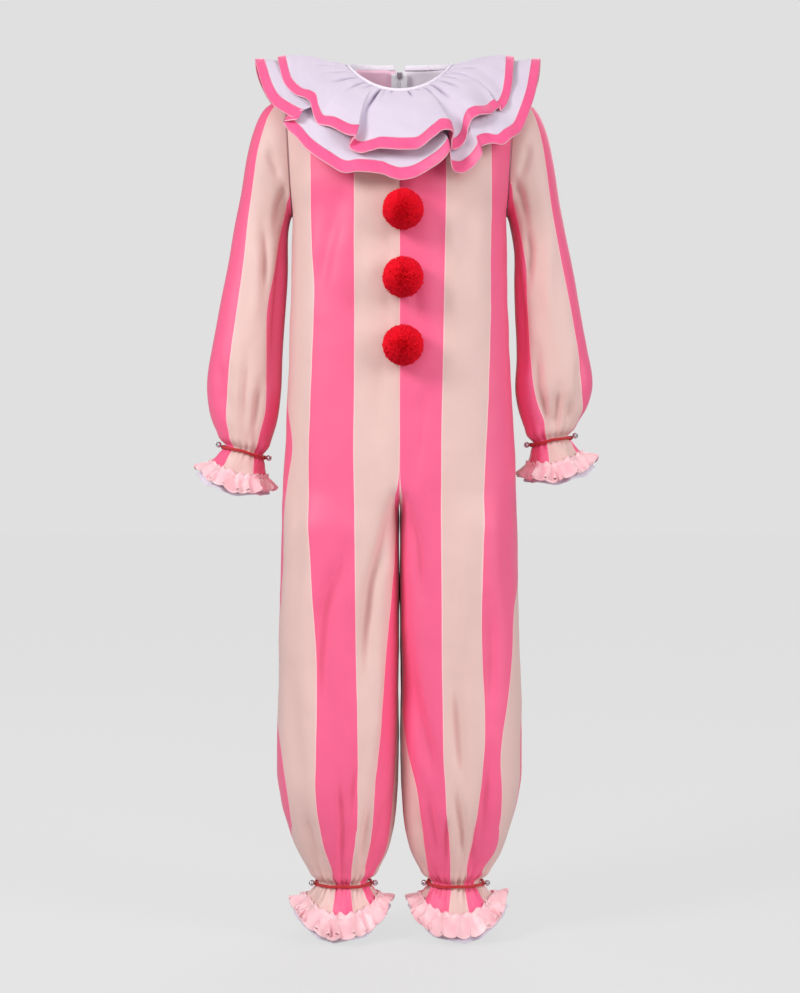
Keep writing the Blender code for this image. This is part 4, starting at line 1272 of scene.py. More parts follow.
for name, tier in TIERS.items():
    seed, seam, cut = tier["seed"], tier["seam"], tier["cut"]
    inner = [seam * (0.6 * share + 0.4 * share * share) for share in evenly(RUFF_ROWS)]
    inner.append(seam + 0.012)
    band = [seam + (1.0 - seam) * share for share in evenly(BAND_ROWS)]
    cloth_piece, cloth_heights = ruff_sheet(name, name + "_cloth", inner, seed)
    band_piece, band_heights = ruff_sheet(name, name + "_binding", band, seed)
    columns = len(band_heights) // len(band)
    marked = band_piece.data.attributes.new("band_edge", "FLOAT", "POINT")
    for i in range(len(band_heights)):
        across = abs(i // columns / BAND_ROWS * 2.0 - 1.0)
        marked.data[i].value = across
        band_heights[i] += 0.45 * (1 - across ** 6)
    press(cloth_piece, cloth_heights, shared_normals([cloth_piece]), columns)
    press(band_piece, band_heights, shared_normals([band_piece]), columns)
    for start in (columns, (BAND_ROWS - 1) * columns):
        seams["ruff_stitches"].append(seam_line(band_piece, range(start, start + columns)))
    thicken(cloth_piece, RUFF_CLOTH, ruff_white)
    thicken(band_piece, BAND_CLOTH, band_pink)
    for piece, node_name, slot_name, flat_size in (
            (cloth_piece, name, "ruff_white", cut),
            (band_piece, name + "_band", "band_pink", (cut[0] * 1.32, 0.0165))):
        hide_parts(node_name)
        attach(piece, "suit")

# Neck binding. A narrow strip of the white cloth folded over the raw neck edge and stitched
# through, drawn up a little so that it puckers.
BINDING_HEIGHT = 8.4
BINDING_CLOTH = 2.4
BINDING_SIDES = 14
BINDING_COLUMNS = 461
BINDING_START = -84.0
BINDING_SWEEP = 348.0


def binding_place(turn, i):
    """A point of the binding's rounded strip, which stops short of the zip on both sides."""
    c, s = math.cos(math.tau * turn), math.sin(math.tau * turn)
    b = BINDING_START + BINDING_SWEEP * i / (BINDING_COLUMNS - 1)
    squeeze = 1.0 + 0.16 * math.sin(i * 1.31) + 0.10 * math.sin(i * 0.47 + 1.0)
    outward, forward = cos_sin(b)
    away = Vector((outward, -forward, 0.0))
    rise = 2.8 + 1.6 * max(0.0, forward) + signed_power(s, 0.8) * BINDING_HEIGHT / 2
    point = neck_point(b) + Vector((0.0, 0.0, rise)) - away * (
        0.9 - signed_power(c, 0.7) * BINDING_CLOTH / 2 * squeeze)
    return point, (math.radians(b) * NECK_HALF_WIDTH * MM, turn * BINDING_SIDES * MM)


rows, flat = laid_out(evenly(BINDING_SIDES), range(BINDING_COLUMNS), binding_place)
binding = sheet_mesh("neck_binding_strip", rows[:-1] + rows[:1], flat)
seams["neck_stitches"].append(seam_line(binding, range(
    (BINDING_SIDES - 1) * BINDING_COLUMNS, BINDING_SIDES * BINDING_COLUMNS)))
work = bmesh.new()
work.from_mesh(binding.data)
bmesh.ops.remove_doubles(work, verts=work.verts, dist=1e-6)
bmesh.ops.holes_fill(work, edges=[e for e in work.edges if e.is_boundary], sides=0)
bmesh.ops.recalc_face_normals(work, faces=work.faces)
work.to_mesh(binding.data)
work.free()
binding.data.materials.append(plain_finish("binding_cloth", shade(244, 236, 246),
                                           shade(238, 228, 241), 0.6, 0.15, 1900.0, 0.4))
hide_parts("neck_binding")
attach(binding, "suit")

# Frills. A pale satin ribbon, ruffled on a sewn line, edges each sleeve and leg, with a
# plain white frill a little longer underneath it.
RIBBON_SHARES = (0.54, 0.99)
RIBBON_SEWN = 0.2
UNDER_SHARES = (0.5, 1.1)
RUFFLES = {"ankle": 26, "wrist": 20}
# Lengths that the ribbon and the under-frill are cut to, in metres.
FRILL_RUNS = {"ankle": (0.60, 0.46), "wrist": (0.44, 0.28)}
# Where a ribbon turns up at the side of its frill: bearing, spread, lift and shift up.
CURLS = {"ankle_left": (6, 11, 9, 0.17), "ankle_right": (166, 9, 4, 0.06),
         "wrist_left": (20, 12, 4, 0.06), "wrist_right": (30, 12, 3, 0.04)}


def satin_finish(name, colour, fold_colour, roughness, rib_scale):
    """Glossy satin whose tone and gloss vary a little along its ruffles."""
    made, shader = material(name, roughness, 0.25)
    tree, cloth_map, _ = weave(shader, 3000.0, 0.6, 0.25)
    drift = mottle(tree, cloth_map, rib_scale, 3.0)
    plug(shader, "Base Color", colour_mix(tree, ranged(tree, drift, 0.0, 1.0, 0.35, 0.65),
                                          colour, fold_colour))
    plug(shader, "Roughness", ranged(tree, drift, roughness - 0.06, roughness + 0.08))
    return made


ribbon_satin = satin_finish("ribbon_satin", shade(252, 212, 216), shade(248, 190, 200), 0.22, 40.0)
under_white = plain_finish("under_frill_cloth", shade(236, 226, 240), shade(228, 216, 234), 0.62,
                           0.2, 2300.0, 0.3)
for name, cuff in CUFFS.items():
    limb = name.split("_")[0]
    ruffles = RUFFLES[limb]
    pick = random.Random(name)
    starts = sorted((k + 0.6 * (pick.random() - 0.5)) / ruffles for k in range(ruffles))
    sizes = [0.4 + 0.85 * pick.random() for _ in range(ruffles)]
    leans = [pick.random() - 0.5 for _ in range(ruffles)]
    columns, steps = ruffles * 14, 18
    phases = []
    for c in range(columns):
        turn = c / columns
        k = next((i for i in range(ruffles - 1, -1, -1) if starts[i] <= turn), ruffles - 1)
        start, end = starts[k], starts[(k + 1) % ruffles]
        end += 1.0 if end <= start else 0.0
        turn += 1.0 if turn < start else 0.0
        phases.append((k, (turn - start) / (end - start)))
    curl_at, curl_spread, curl_lift, curl_up = CURLS[name]

    def ribbon_place(across, c):
        free = max(0.0, across - RIBBON_SEWN) / (1 - RIBBON_SEWN)
        heading = max(0.0, RIBBON_SEWN - across) / RIBBON_SEWN
        k, part = phases[c % columns]
        size = sizes[k] * (1 - smooth(part)) + sizes[(k + 1) % ruffles] * smooth(part)
        wave = 0.5 - 0.5 * math.cos(math.tau * part)
        fine = 0.5 - 0.5 * math.cos(2 * math.tau * part + leans[k])
        height = (1.15 + 2.4 * free + 7.5 * size * wave * free ** 0.75
                  + fine * (0.5 + free) * (1 - 0.4 * free) + 3.2 * wave * size * heading ** 0.7)
        swing = (5.4 * math.sin(math.tau * part) * size + 3.0 * leans[k]) * free ** 1.2
        ripple = (0.045 * size * math.cos(math.tau * part + leans[k]) * free
                  - 0.055 * size * (wave - 0.4) * heading)
        bearing = 360.0 * c / columns + math.degrees(swing / (cuff["half"] + 25.0))
        around = (bearing - curl_at + 180.0) % 360.0 - 180.0
        curl = math.exp(-(around / curl_spread) ** 2)
        height += curl_lift * curl * (0.4 + 0.6 * across)
        share = (RIBBON_SHARES[0] + (RIBBON_SHARES[1] - RIBBON_SHARES[0]) * across + ripple
                 - curl_up * curl * (0.3 + 0.7 * across))
        return frill_point(name, bearing, share, height), (c / columns * 0.62, across * 0.032)

    rows, flat = laid_out(evenly(steps), range(columns + 1), ribbon_place)
    ribbon = sheet_mesh(name + "_ribbon_ruffle", [row[:-1] for row in rows], flat, ring=True)
    sewn_row = round(steps * RIBBON_SEWN) * columns
    seams["ribbon_stitches"].append(seam_line(ribbon, range(sewn_row, sewn_row + columns, 2)))
    thicken(ribbon, 0.55, ribbon_satin)
    columns, steps = cuff["flutes"] * 24, 14

    def under_place(across, c):
        turn = c / columns
        bent = turn + 0.012 * math.sin(math.tau * 5 * turn)
        wave = (math.sin(math.tau * (cuff["flutes"] * 3 // 2 * bent + 0.3))
                + 0.6 * math.sin(math.tau * (cuff["flutes"] * 2 + 3) * bent))
        fine = math.sin(math.tau * 31 * turn + 2.0 * math.sin(math.tau * 3 * turn))
        height = (-CLOTH - 1.9 + 1.5 * (wave - 1.6) * across ** 1.4
                  + 0.35 * (fine - 1.0) * (1 - 0.6 * across))
        uneven = 0.035 * math.sin(math.tau * 2 * turn + 1.0) + 0.012 * wave - 0.04
        share = UNDER_SHARES[0] + (UNDER_SHARES[1] - UNDER_SHARES[0] + uneven) * across
        return frill_point(name, 360.0 * turn, share, height), (turn * 0.6, across * 0.035)

    rows, flat = laid_out(evenly(steps), range(columns + 1), under_place)
    under = sheet_mesh(name + "_under_ruffle", [row[:-1] for row in rows], flat, ring=True)
    thicken(under, 0.6, under_white)
    ribbon_run, under_run = FRILL_RUNS[limb]
    for piece, node_name, slot_name, size in (
            (ribbon, name + "_ribbon", "ribbon_satin", (ribbon_run, 0.034)),
            (under, name + "_under_frill", "frill_white", (under_run, 0.04))):
        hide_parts(node_name)
        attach(piece, "suit")

# Cords and bells. A twisted red cord draws in each sleeve and leg, whole all the way round,
# with a small pressed jingle bell held to it at either side by its loop.
CORD_RADIUS = 2.4
CORD_OUT = 4.2
WRAP_TURNS = 3.5
WRAP_POINTS = 60
BELL_RADIUS = 4.4
SLOT_HOLE = 0.95
SLOT_HALF_GAP = 0.42
BELL_BEARINGS = {"bell_outer": 16.0, "bell_inner": 166.0}


def close_group(group, geometry, ask, leave):
    """End a group: its copies made real, in the finish that it is given."""
    real = node(group, "GeometryNodeRealizeInstances", {"Geometry": geometry})
    plug(leave, 0, node(group, "GeometryNodeSetMaterial", {
        "Geometry": real, "Material": ask["Finish"]}))


def strand_group():
    """Strands wound round the curves they are given, as a rope or a zip's coil."""
    group, ask, leave = new_group("wound_strands", "GeometryNodeTree", {
        "Geometry": "Geometry", "Strands": 3, "Points": 400, "Turns": 20.0, "Half Width": 0.001,
        "Half Depth": 0.001, "Thickness": 0.001, "Sides": 8, "Finish": "Material"},
        {"Geometry": "Geometry"})
    evened = node(group, "GeometryNodeResampleCurve", {
        "Curve": ask["Geometry"], "Count": ask["Points"]})
    copies = node(group, "GeometryNodeDuplicateElements", {
        "Geometry": evened, "Amount": ask["Strands"]}, domain="SPLINE")
    along = node(group, "GeometryNodeSplineParameter").outputs["Factor"]
    share = math_node(group, "DIVIDE", copies.outputs["Duplicate Index"], ask["Strands"])
    turns = math_node(group, "ADD", math_node(group, "MULTIPLY", along, ask["Turns"]), share)
    angle = math_node(group, "MULTIPLY", turns, math.tau)
    normal = node(group, "GeometryNodeInputNormal")
    across = vector_node(group, "CROSS_PRODUCT", node(group, "GeometryNodeInputTangent"), normal)
    shifts = [vector_node(group, "SCALE", direction, math_node(
        group, "MULTIPLY", math_node(group, wave, angle), ask[size]))
        for direction, wave, size in ((normal, "COSINE", "Half Width"),
                                      (across, "SINE", "Half Depth"))]
    twisted = node(group, "GeometryNodeSetPosition", {
        "Geometry": copies, "Offset": vector_node(group, "ADD", *shifts)})
    profile = node(group, "GeometryNodeCurvePrimitiveCircle", {
        "Resolution": ask["Sides"], "Radius": ask["Thickness"]})
    solid = node(group, "GeometryNodeCurveToMesh", {"Curve": twisted, "Profile Curve": profile})
    close_group(group, node(group, "GeometryNodeSetShadeSmooth", {"Geometry": solid}), ask, leave)
    return group


wound_strands = strand_group()


def line_object(name, points, closed):
    """A curve through points in millimetres."""
    curve = bpy.data.curves.new(name, "CURVE")
    curve.dimensions = "3D"
    spline = curve.splines.new("POLY")
    spline.points.add(len(points) - 1)
    for target, place in zip(spline.points, points):
        target.co = (*(place * MM), 1.0)
    spline.use_cyclic_u = closed
    return placed(name, curve)


def grown(source, group, **settings):
    """Mesh that a node group makes of an object, with the group's inputs by name."""
    grow = source.modifiers.new("grow", "NODES")
    grow.node_group = group
    for item in group.interface.items_tree:
        label = item.name.replace(" ", "_")
        if item.in_out == "INPUT" and label in settings:
            grow[item.identifier] = settings[label]
    source.update_tag()
    made = settled(source)
    made.name = source.name
    result = placed(source.name + "_made", made)
    bpy.data.objects.remove(source)
    return result


def wound(name, points, finish, thickness, sides, closed=False, strands=1, count=0, turns=0.0,
          reach=(0.0, 0.0)):
    """Strands wound round a line; thickness and their reach from it in millimetres."""
    return grown(line_object(name, points, closed), wound_strands, Strands=strands,
                 Points=count or len(points), Turns=float(turns), Half_Width=reach[0] * MM,
                 Half_Depth=reach[1] * MM, Thickness=thickness * MM, Sides=sides, Finish=finish)


def built(name, work, finishes=()):
    """Object of a finished bmesh and its finishes."""
    mesh = bpy.data.meshes.new(name)
    work.to_mesh(mesh)
    work.free()
    for finish in finishes:
        mesh.materials.append(finish)
    return placed(name, mesh)


def joined(name, objects):
    """One object of several, kept at the origin."""
    work = bmesh.new()
    finishes = []
    for item in objects:
        first = len(work.faces)
        for finish in item.data.materials:
            if finish not in finishes:
                finishes.append(finish)
        slots = [finishes.index(finish) for finish in item.data.materials]
        work.from_mesh(item.data)
        work.faces.ensure_lookup_table()
        for face in work.faces[first:]:
            face.material_index = slots[face.material_index]
    made = built(name, work, finishes)
    for item in objects:
        bpy.data.objects.remove(item)
    return made


def ball_work(steps, radius, moved):
    """A round ball with each of its places moved by a function."""
    work = bmesh.new()
    bmesh.ops.create_icosphere(work, subdivisions=steps, radius=radius)
    for vertex in work.verts:
        vertex.co = moved(vertex.co)
    for face in work.faces:
        face.smooth = True
    return work


def over_object(shader, scale):
    """Fine noise through a whole piece."""
    tree = shader.id_data
    return mottle(tree, node(tree, "ShaderNodeTexCoord").outputs["Object"], scale, 4.0)


def thread_finish(name, colour, dark, roughness, scale):
    """Spun thread: fine fibres that shift the tone and break up the shine."""
    made, shader = material(name, roughness, 0.3)
    fibre = over_object(shader, scale)
    part = ranged(made.node_tree, fibre, 0.0, 1.0, 0.3, 0.7)
    plug(shader, "Base Color", colour_mix(made.node_tree, part, dark, colour))
    relief(shader, fibre, 0.5, 0.0002)
    return made


def metal_finish(name, colour, roughness, scale):
    """Thinly plated metal, faintly uneven and duller in patches."""
    made, shader = material(name, roughness, Metallic=1.0, Base_Color=colour)
    patch = over_object(shader, scale)
    plug(shader, "Roughness", ranged(made.node_tree, patch, roughness - 0.08, roughness + 0.16))
    relief(shader, patch, 0.12, 0.0002)
    return made


cord_red = thread_finish("cord_red", shade(206, 26, 32), shade(168, 12, 22), 0.5, 1400.0)
bell_silver = metal_finish("bell_silver", shade(206, 206, 210), 0.26, 500.0)
bell_inside = metal_finish("bell_inside", shade(70, 68, 70), 0.5, 700.0)


def bell_shell(centre, axis, sideways):
    """Pressed bell about its axis: a whole upper half, a rolled rim and a lower half cut by
    two crossing slots that end in round holes."""
    other = axis.cross(sideways).normalized()
    rows, quarter_steps = [], 7
    levels = [-82.0 + 10.0 * i for i in range(8)] + [-5.0, -2.5, 0.0, 2.5, 5.0]
    levels += [8.0 + 5.0 * i for i in range(17)]
    for level in levels:
        lat = math.radians(level)
        swell = 0.25 * math.exp(-(level / 3.2) ** 2)
        ring = BELL_RADIUS * math.cos(lat) + swell
        gap = 0.0
        if level > 20.0:
            off = BELL_RADIUS * math.radians(level - 30.0)
            hole = math.sqrt(SLOT_HOLE ** 2 - off * off) if abs(off) < 0.85 else 0.0
            gap = max(hole, SLOT_HALF_GAP if level > 30.0 else 0.0)
        row = []
        for quarter in range(4):
            margin = math.asin(min(0.68, gap / max(ring, 0.01)))
            for i in range(quarter_steps + 1):
                angle = (math.pi / 2 * quarter + margin
                         + (math.pi / 2 - 2 * margin) * i / quarter_steps)
                row.append(centre + axis * BELL_RADIUS * math.sin(lat)
                           + (sideways * math.cos(angle) + other * math.sin(angle)) * ring)
        rows.append(row)
    work = bmesh.new()
    grid = [[work.verts.new(point * MM) for point in row] for row in rows]
    wide = 4 * (quarter_steps + 1)
    for r in range(len(rows) - 1):
        for c in range(wide):
            beside = (c + 1) % wide
            slot_edge = c % (quarter_steps + 1) == quarter_steps
            if slot_edge and levels[r + 1] > 20.0:
                continue
            work.faces.new((grid[r][c], grid[r][beside], grid[r + 1][beside], grid[r + 1][c]))
    work.faces.new(grid[0][::-1])
    bmesh.ops.remove_doubles(work, verts=work.verts, dist=0.00001)
    bmesh.ops.recalc_face_normals(work, faces=work.faces)
    made = built("bell_shell", work)
    made.data.shade_smooth()
    thicken(made, 0.32, bell_silver, bell_inside)
    return made


for name, cuff in CUFFS.items():
    centre, out, forward, down = cuff_axes(cuff)

    def cord_place(bearing, beyond=CORD_OUT):
        c, s = cos_sin(bearing)
        away = out * c * cuff["half"] + forward * s * cuff["depth"]
        return centre + away + away.normalized() * beyond

    def cord_sway(bearing):
        """The cord rides up and down a little over the gathers."""
        return down * (0.7 * math.sin(math.radians(3 * bearing + 20.0))
                       + 0.35 * math.sin(math.radians(7 * bearing)))

    ring = [cord_place(b) + cord_sway(b) for b in range(0, 360, 3)]
    girth = lengths(ring + ring[:1])[-1]
    parts = [wound(name + "_rope", ring, cord_red, 1.3, 8, closed=True, strands=3,
                   count=round(girth * 1.1), turns=round(girth / 11.0), reach=(1.15, 1.15))]
    for bell, bearing in BELL_BEARINGS.items():
        wraps = []
        for part in evenly(WRAP_POINTS):
            turn = math.tau * WRAP_TURNS * part
            at = bearing + (part - 0.5) * math.degrees(4.2 / cuff["half"])
            place = cord_place(at) + cord_sway(at)
            away = (place - centre).normalized()
            wraps.append(place + (away * math.cos(turn) + down * math.sin(turn)) * 2.75)
        parts.append(wound(name + "_wrap", wraps, cord_red, 0.3, 5, strands=2, count=120,
                           turns=24.0, reach=(0.22, 0.22)))
    cord = joined(name + "_drawcord", parts)
    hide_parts(name + "_cord")
    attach(cord, "suit")
    for bell, bearing in BELL_BEARINGS.items():
        hang = cord_place(bearing, 4.9 + CORD_RADIUS + BELL_RADIUS + 0.1) - down * 1.0
        axis = ((hang - centre).normalized() - down * 0.1).normalized()
        shell = bell_shell(hang, axis, down.cross(axis).normalized())
        loop = [hang - axis * (BELL_RADIUS + 0.55 + 1.0 * math.cos(math.tau * i / 24))
                + down * 1.0 * math.sin(math.tau * i / 24) for i in range(24)]
        loop = wound("bell_loop", loop, bell_silver, 0.34, 8, closed=True)
        inside = (hang + axis * (BELL_RADIUS - 2.4)) * MM
        ball = built("bell_ball", ball_work(2, 1.5 * MM, lambda co: co + inside), [bell_inside])
        whole = joined(name + "_" + bell + "_jingle", [shell, loop, ball])
        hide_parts(name + "_" + bell)
        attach(whole, "suit")

# Pompoms. Three dense balls of fine red fibre sewn down the front, flat where they meet the
# cloth, a little ragged at the tips.
POMPOM_RADIUS = 29.5
POMPOM_CORE = 20.0
FIBRES = 3900.0
POMPOM_HEIGHTS = {"pompom_top": -234.5, "pompom_middle": -331.5, "pompom_bottom": -428.5}
POMPOM_X = 5.0


def random_node(group, low, high, seed=0):
    """Random numbers or vectors between two given ones."""
    kind, first = ("FLOAT_VECTOR", 0) if isinstance(low, tuple) else ("FLOAT", 2)
    made = node(group, "FunctionNodeRandomValue", {
        first: low, first + 1: high, "Seed": seed}, data_type=kind)
    return made.outputs[first // 2]


def kept_as(group, name, geometry, value, domain):
    """Keep a value on a geometry as a named attribute."""
    return node(group, "GeometryNodeStoreNamedAttribute", {
        "Geometry": geometry, "Name": name, "Value": value}, data_type="FLOAT", domain=domain)


def tapered_strand(group, line, radius, sides, ask):
    """A strand of varying radius round a line one unit long, sized as the group is asked."""
    bent = node(group, "GeometryNodeSetCurveRadius", {"Curve": line, "Radius": radius})
    profile = node(group, "GeometryNodeCurvePrimitiveCircle", {"Resolution": sides, "Radius": 1.0})
    solid = node(group, "GeometryNodeCurveToMesh", {"Curve": bent, "Profile Curve": profile})
    size = node(group, "ShaderNodeCombineXYZ", {
        0: ask["Thickness"], 1: ask["Thickness"], 2: ask["Length"]})
    return node(group, "GeometryNodeTransform", {"Geometry": solid, "Scale": size})


def fur_group():
    """Tapering strands that stand out of a surface, with how far along each point is kept
    as "tip" and each strand's own tone as "tone"."""
    group, ask, leave = new_group("fur_strands", "GeometryNodeTree", {
        "Geometry": "Geometry", "Density": 100000.0, "Seed": 1, "Length": 0.01,
        "Thickness": 0.0005, "Lean": 0.3, "Curl": 0.001, "Finish": "Material"},
        {"Geometry": "Geometry"})
    spread = node(group, "GeometryNodeDistributePointsOnFaces", {
        "Mesh": ask["Geometry"], "Density": ask["Density"], "Seed": ask["Seed"]})
    line = node(group, "GeometryNodeCurvePrimitiveLine", {"End": (0.0, 0.0, 1.0)})
    bent = node(group, "GeometryNodeResampleCurve", {"Curve": line, "Count": 3})
    along = node(group, "GeometryNodeSplineParameter").outputs["Factor"]
    slim = math_node(group, "SUBTRACT", 1.0, math_node(
        group, "MULTIPLY", math_node(group, "POWER", along, 2.0), 0.8))
    strand = tapered_strand(group, kept_as(group, "tip", bent, along, "POINT"), slim, 3, ask)
    leaning = vector_node(group, "SCALE", random_node(group, (-1, -1, -1), (1, 1, 1)),
                          ask["Lean"])
    toward = vector_node(group, "ADD", spread.outputs["Normal"], leaning)
    turned = node(group, "FunctionNodeAlignRotationToVector", {"Vector": toward}, axis="Z")
    lengthways = node(group, "ShaderNodeCombineXYZ", {
        0: 1.0, 1: 1.0, 2: random_node(group, 0.80, 1.0, 5)})
    laid = node(group, "GeometryNodeInstanceOnPoints", {
        "Points": spread, "Instance": strand, "Rotation": turned, "Scale": lengthways})
    toned = kept_as(group, "tone", laid, random_node(group, 0.0, 1.0, 9), "INSTANCE")
    real = node(group, "GeometryNodeRealizeInstances", {"Geometry": toned})
    how_far = node(group, "GeometryNodeInputNamedAttribute", {"Name": "tip"}, data_type="FLOAT")
    stir = node(group, "ShaderNodeTexNoise", {"Scale": 160.0, "Detail": 2.0})
    centred = vector_node(group, "SUBTRACT", stir.outputs["Color"], (0.5, 0.5, 0.5))
    amount = math_node(group, "MULTIPLY", math_node(group, "POWER", how_far, 2.0), ask["Curl"])
    curled = node(group, "GeometryNodeSetPosition", {
        "Geometry": real, "Offset": vector_node(group, "SCALE", centred, amount)})
    close_group(group, curled, ask, leave)
    return group


def fur_finish():
    """Red fibre: painted shade darkens it at the root and a painted highlight makes it brighter
    and softer towards the tip; it also has a faint painted glow.
    """
    # A faint emission of the fibre's own colour is a painted glow that lifts the fur's shade.
    made, shader = material("pompom_fibre", 0.8, 0.12, Sheen_Tint=shade(255, 70, 90),
                            Specular_IOR_Level=0.12, Emission_Strength=0.07)
    tree = made.node_tree
    # Painted shade towards each strand's root and painted highlight towards its tip.
    body = colour_mix(tree, ranged(tree, mask(tree, "tip"), 0.0, 1.0, 0.35, 1.0),
                      shade(232, 6, 22), shade(255, 24, 50))
    toned = vector_node(tree, "SCALE", body, ranged(tree, mask(tree, "tone"), 0.85, 1.2))
    plug(shader, "Base Color", toned)
    plug(shader, "Emission Color", toned)
    return made


fur_strands = fur_group()
pompom_fibre = fur_finish()
for seed, (name, height) in enumerate(POMPOM_HEIGHTS.items(), 1):
    chest = at_level(BODY_LEVELS, height)[2]
    centre = Vector((POMPOM_X, -chest - POMPOM_RADIUS * 0.72, height))

    def lumpy(co):
        swell = 1.0 + 0.035 * noise.noise(co * 120.0 + Vector((seed * 5.0, 0, 0)))
        return co * swell + centre * MM

    core = built(name + "_core", ball_work(4, POMPOM_CORE * MM, lumpy), [pompom_fibre])
    fur = grown(placed(name + "_fur", core.data.copy()), fur_strands,
                Density=FIBRES / (4 * math.pi * (POMPOM_CORE * MM) ** 2), Seed=seed,
                Length=(POMPOM_RADIUS - POMPOM_CORE + 0.9) * MM, Thickness=0.5 * MM, Lean=0.34,
                Curl=0.0045, Finish=pompom_fibre)
    ball = joined(name + "_ball", [core, fur])
    for vertex in ball.data.vertices:
        wall = (-at_level(BODY_LEVELS, max(-1200.0, vertex.co.z * 1000))[2] - 1.2) * MM
        if vertex.co.y > wall - 0.003:
            past = vertex.co.y - (wall - 0.003)
            vertex.co.y = wall - 0.003 + 0.003 * past / (past + 0.003)
    # The fibres catch the light as a ball does, with some of each one's own roundness.
    ball.data.update()
    ball.data.shade_smooth()
    ball.data.normals_split_custom_set_from_vertices([
        ((vertex.co - centre * MM).normalized() + vertex.normal * 0.45).normalized()
        for vertex in ball.data.vertices])
    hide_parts(name)
    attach(ball, "suit")

# Zip. A white coil zip in the back seam from the neck to the seat: herringbone tapes behind
# the panels' edges, two nylon coils, a pressed slider and its pull tab.
ZIP_TAPE_EDGE = 12.5
COIL_PITCH = 1.7
ZIP_STEP = 8.0
ZIP_POINTS = 260


def zip_line():
    """Points down the middle of the zip and the way out of the cloth at each."""
    rows = [row[0] for row in yoke_rows("back")]
    rows[1:7] = []
    z = UNDERARM_Z - ZIP_STEP
    while z > ZIP_END_Z + 4.0:
        rows.append(body_row(z, "back")[0])
        z -= ZIP_STEP
    rows[0] = rows[0] - Vector((0.0, 0.0, 5.0))
    line = walk(rows, evenly(ZIP_POINTS))
    outs = []
    for i in range(len(line)):
        t = (line[min(i + 2, ZIP_POINTS)] - line[max(i - 2, 0)]).normalized()
        outs.append(Vector((0.0, -t.z, t.y)).normalized())
    return line, outs


def tape_finish():
    """Herringbone twill in white polyester."""
    made, shader = material("zip_tape_twill", 0.72, 0.2)
    tree, cloth_map, _ = weave(shader, 2400.0, 0.3, 0.3)
    parts = node(tree, "ShaderNodeSeparateXYZ", {0: cloth_map}).outputs
    slant = math_node(tree, "ADD", math_node(tree, "PINGPONG", parts["X"], 0.0035), parts["Y"])
    rib = math_node(tree, "SINE", math_node(tree, "MULTIPLY", slant, math.tau / 0.0011))
    plug(shader, "Base Color", colour_mix(tree, ranged(tree, rib, 0.0, 1.0, -1.0, 1.0),
                                          shade(226, 222, 232), shade(244, 240, 246)))
    relief(shader, rib, 0.35, 0.0003)
    return made


zip_twill = tape_finish()
coil_nylon = thread_finish("coil_nylon", shade(240, 238, 244), shade(222, 220, 228), 0.32, 900.0)
zip_paint = metal_finish("zip_paint", shade(232, 230, 236), 0.34, 420.0)
line, outs = zip_line()
marks = lengths(line)


def tape_place(i, across):
    """Left tape: a flat strip with a raised cord along its edge by the coil."""
    near = line[i] - outs[i] * (CLOTH + 0.5) + Vector((2.6, 0.0, 0.0))
    far = line[i] - outs[i] * (CLOTH + 0.9) + Vector((ZIP_TAPE_EDGE, -1.2, 0.0))
    bulge = 0.5 * math.exp(-((across - 0.08) / 0.06) ** 2)
    return near.lerp(far, across) + outs[i] * bulge, (across * 0.0125, marks[i] * MM)


rows, flat = laid_out(range(0, len(line), 2), evenly(8), tape_place)
for side, sign in (("left", 1.0), ("right", -1.0)):
    tape = sheet_mesh("zip_tape_" + side + "_strip", mirrored(rows, sign), flat)
    thicken(tape, 0.6, zip_twill)
    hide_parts("zip_tape_" + side)
    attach(tape, "suit")
coils = []
coil_turns = marks[-1] / COIL_PITCH
for sign in (1.0, -1.0):
    middle = [point - out_way * 1.3 + Vector((0.98 * sign, 0.0, 0.0))
              for point, out_way in zip(line, outs)]
    coils.append(wound("coil", middle, coil_nylon, 0.3, 4, count=round(coil_turns * 6),
                       turns=coil_turns + (0.5 if sign > 0 else 0.0), reach=(0.98, 0.82)))
    coils.append(wound("coil_core", middle, coil_nylon, 0.5, 6, count=130))
chain = joined("zip_coils", coils)
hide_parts("zip_chain")
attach(chain, "suit")


def pressed(name, outline, low, high, bevel, holes=()):
    """Painted plate from an outline of (across, along) points between two depths outwards,
    its edges rounded, with its holes cut clean through."""
    start, out_way, up = line[0], outs[0], (line[0] - line[3]).normalized()
    across = Vector((1.0, 0.0, 0.0))
    work = bmesh.new()
    edges = []
    for loop in (outline, *holes):
        verts = [work.verts.new((start + across * x + up * y + out_way * low) * MM)
                 for x, y in loop]
        edges += [work.edges.new((verts[i], verts[(i + 1) % len(verts)]))
                  for i in range(len(verts))]
    bmesh.ops.triangle_fill(work, edges=edges, use_beauty=True)
    lifted = bmesh.ops.extrude_face_region(work, geom=work.faces[:])
    for item in lifted["geom"]:
        if isinstance(item, bmesh.types.BMVert):
            item.co += out_way * (high - low) * MM
    bmesh.ops.recalc_face_normals(work, faces=work.faces)
    made = built(name, work, [zip_paint])
    round_over = made.modifiers.new("round", "BEVEL")
    round_over.width = bevel * MM
    round_over.segments = 3
    round_over.angle_limit = math.radians(50.0)
    made.data = settled(made)
    made.data.shade_smooth()
    made.data.set_sharp_from_angle(angle=math.radians(40.0))
    return made


def oval(x, y, half_width, half_height, count=28):
    """Outline of an oval hole."""
    return [(x + half_width * math.cos(math.tau * i / count),
             y + half_height * math.sin(math.tau * i / count)) for i in range(count)]


shield = [(-4.1, 2.2), (-3.4, 2.6), (3.4, 2.6), (4.1, 2.2), (4.2, 0), (3.2, -5.2), (2.9, -7.1),
          (2.5, -7.4), (-2.5, -7.4), (-2.9, -7.1), (-3.2, -5.2), (-4.2, 0)]
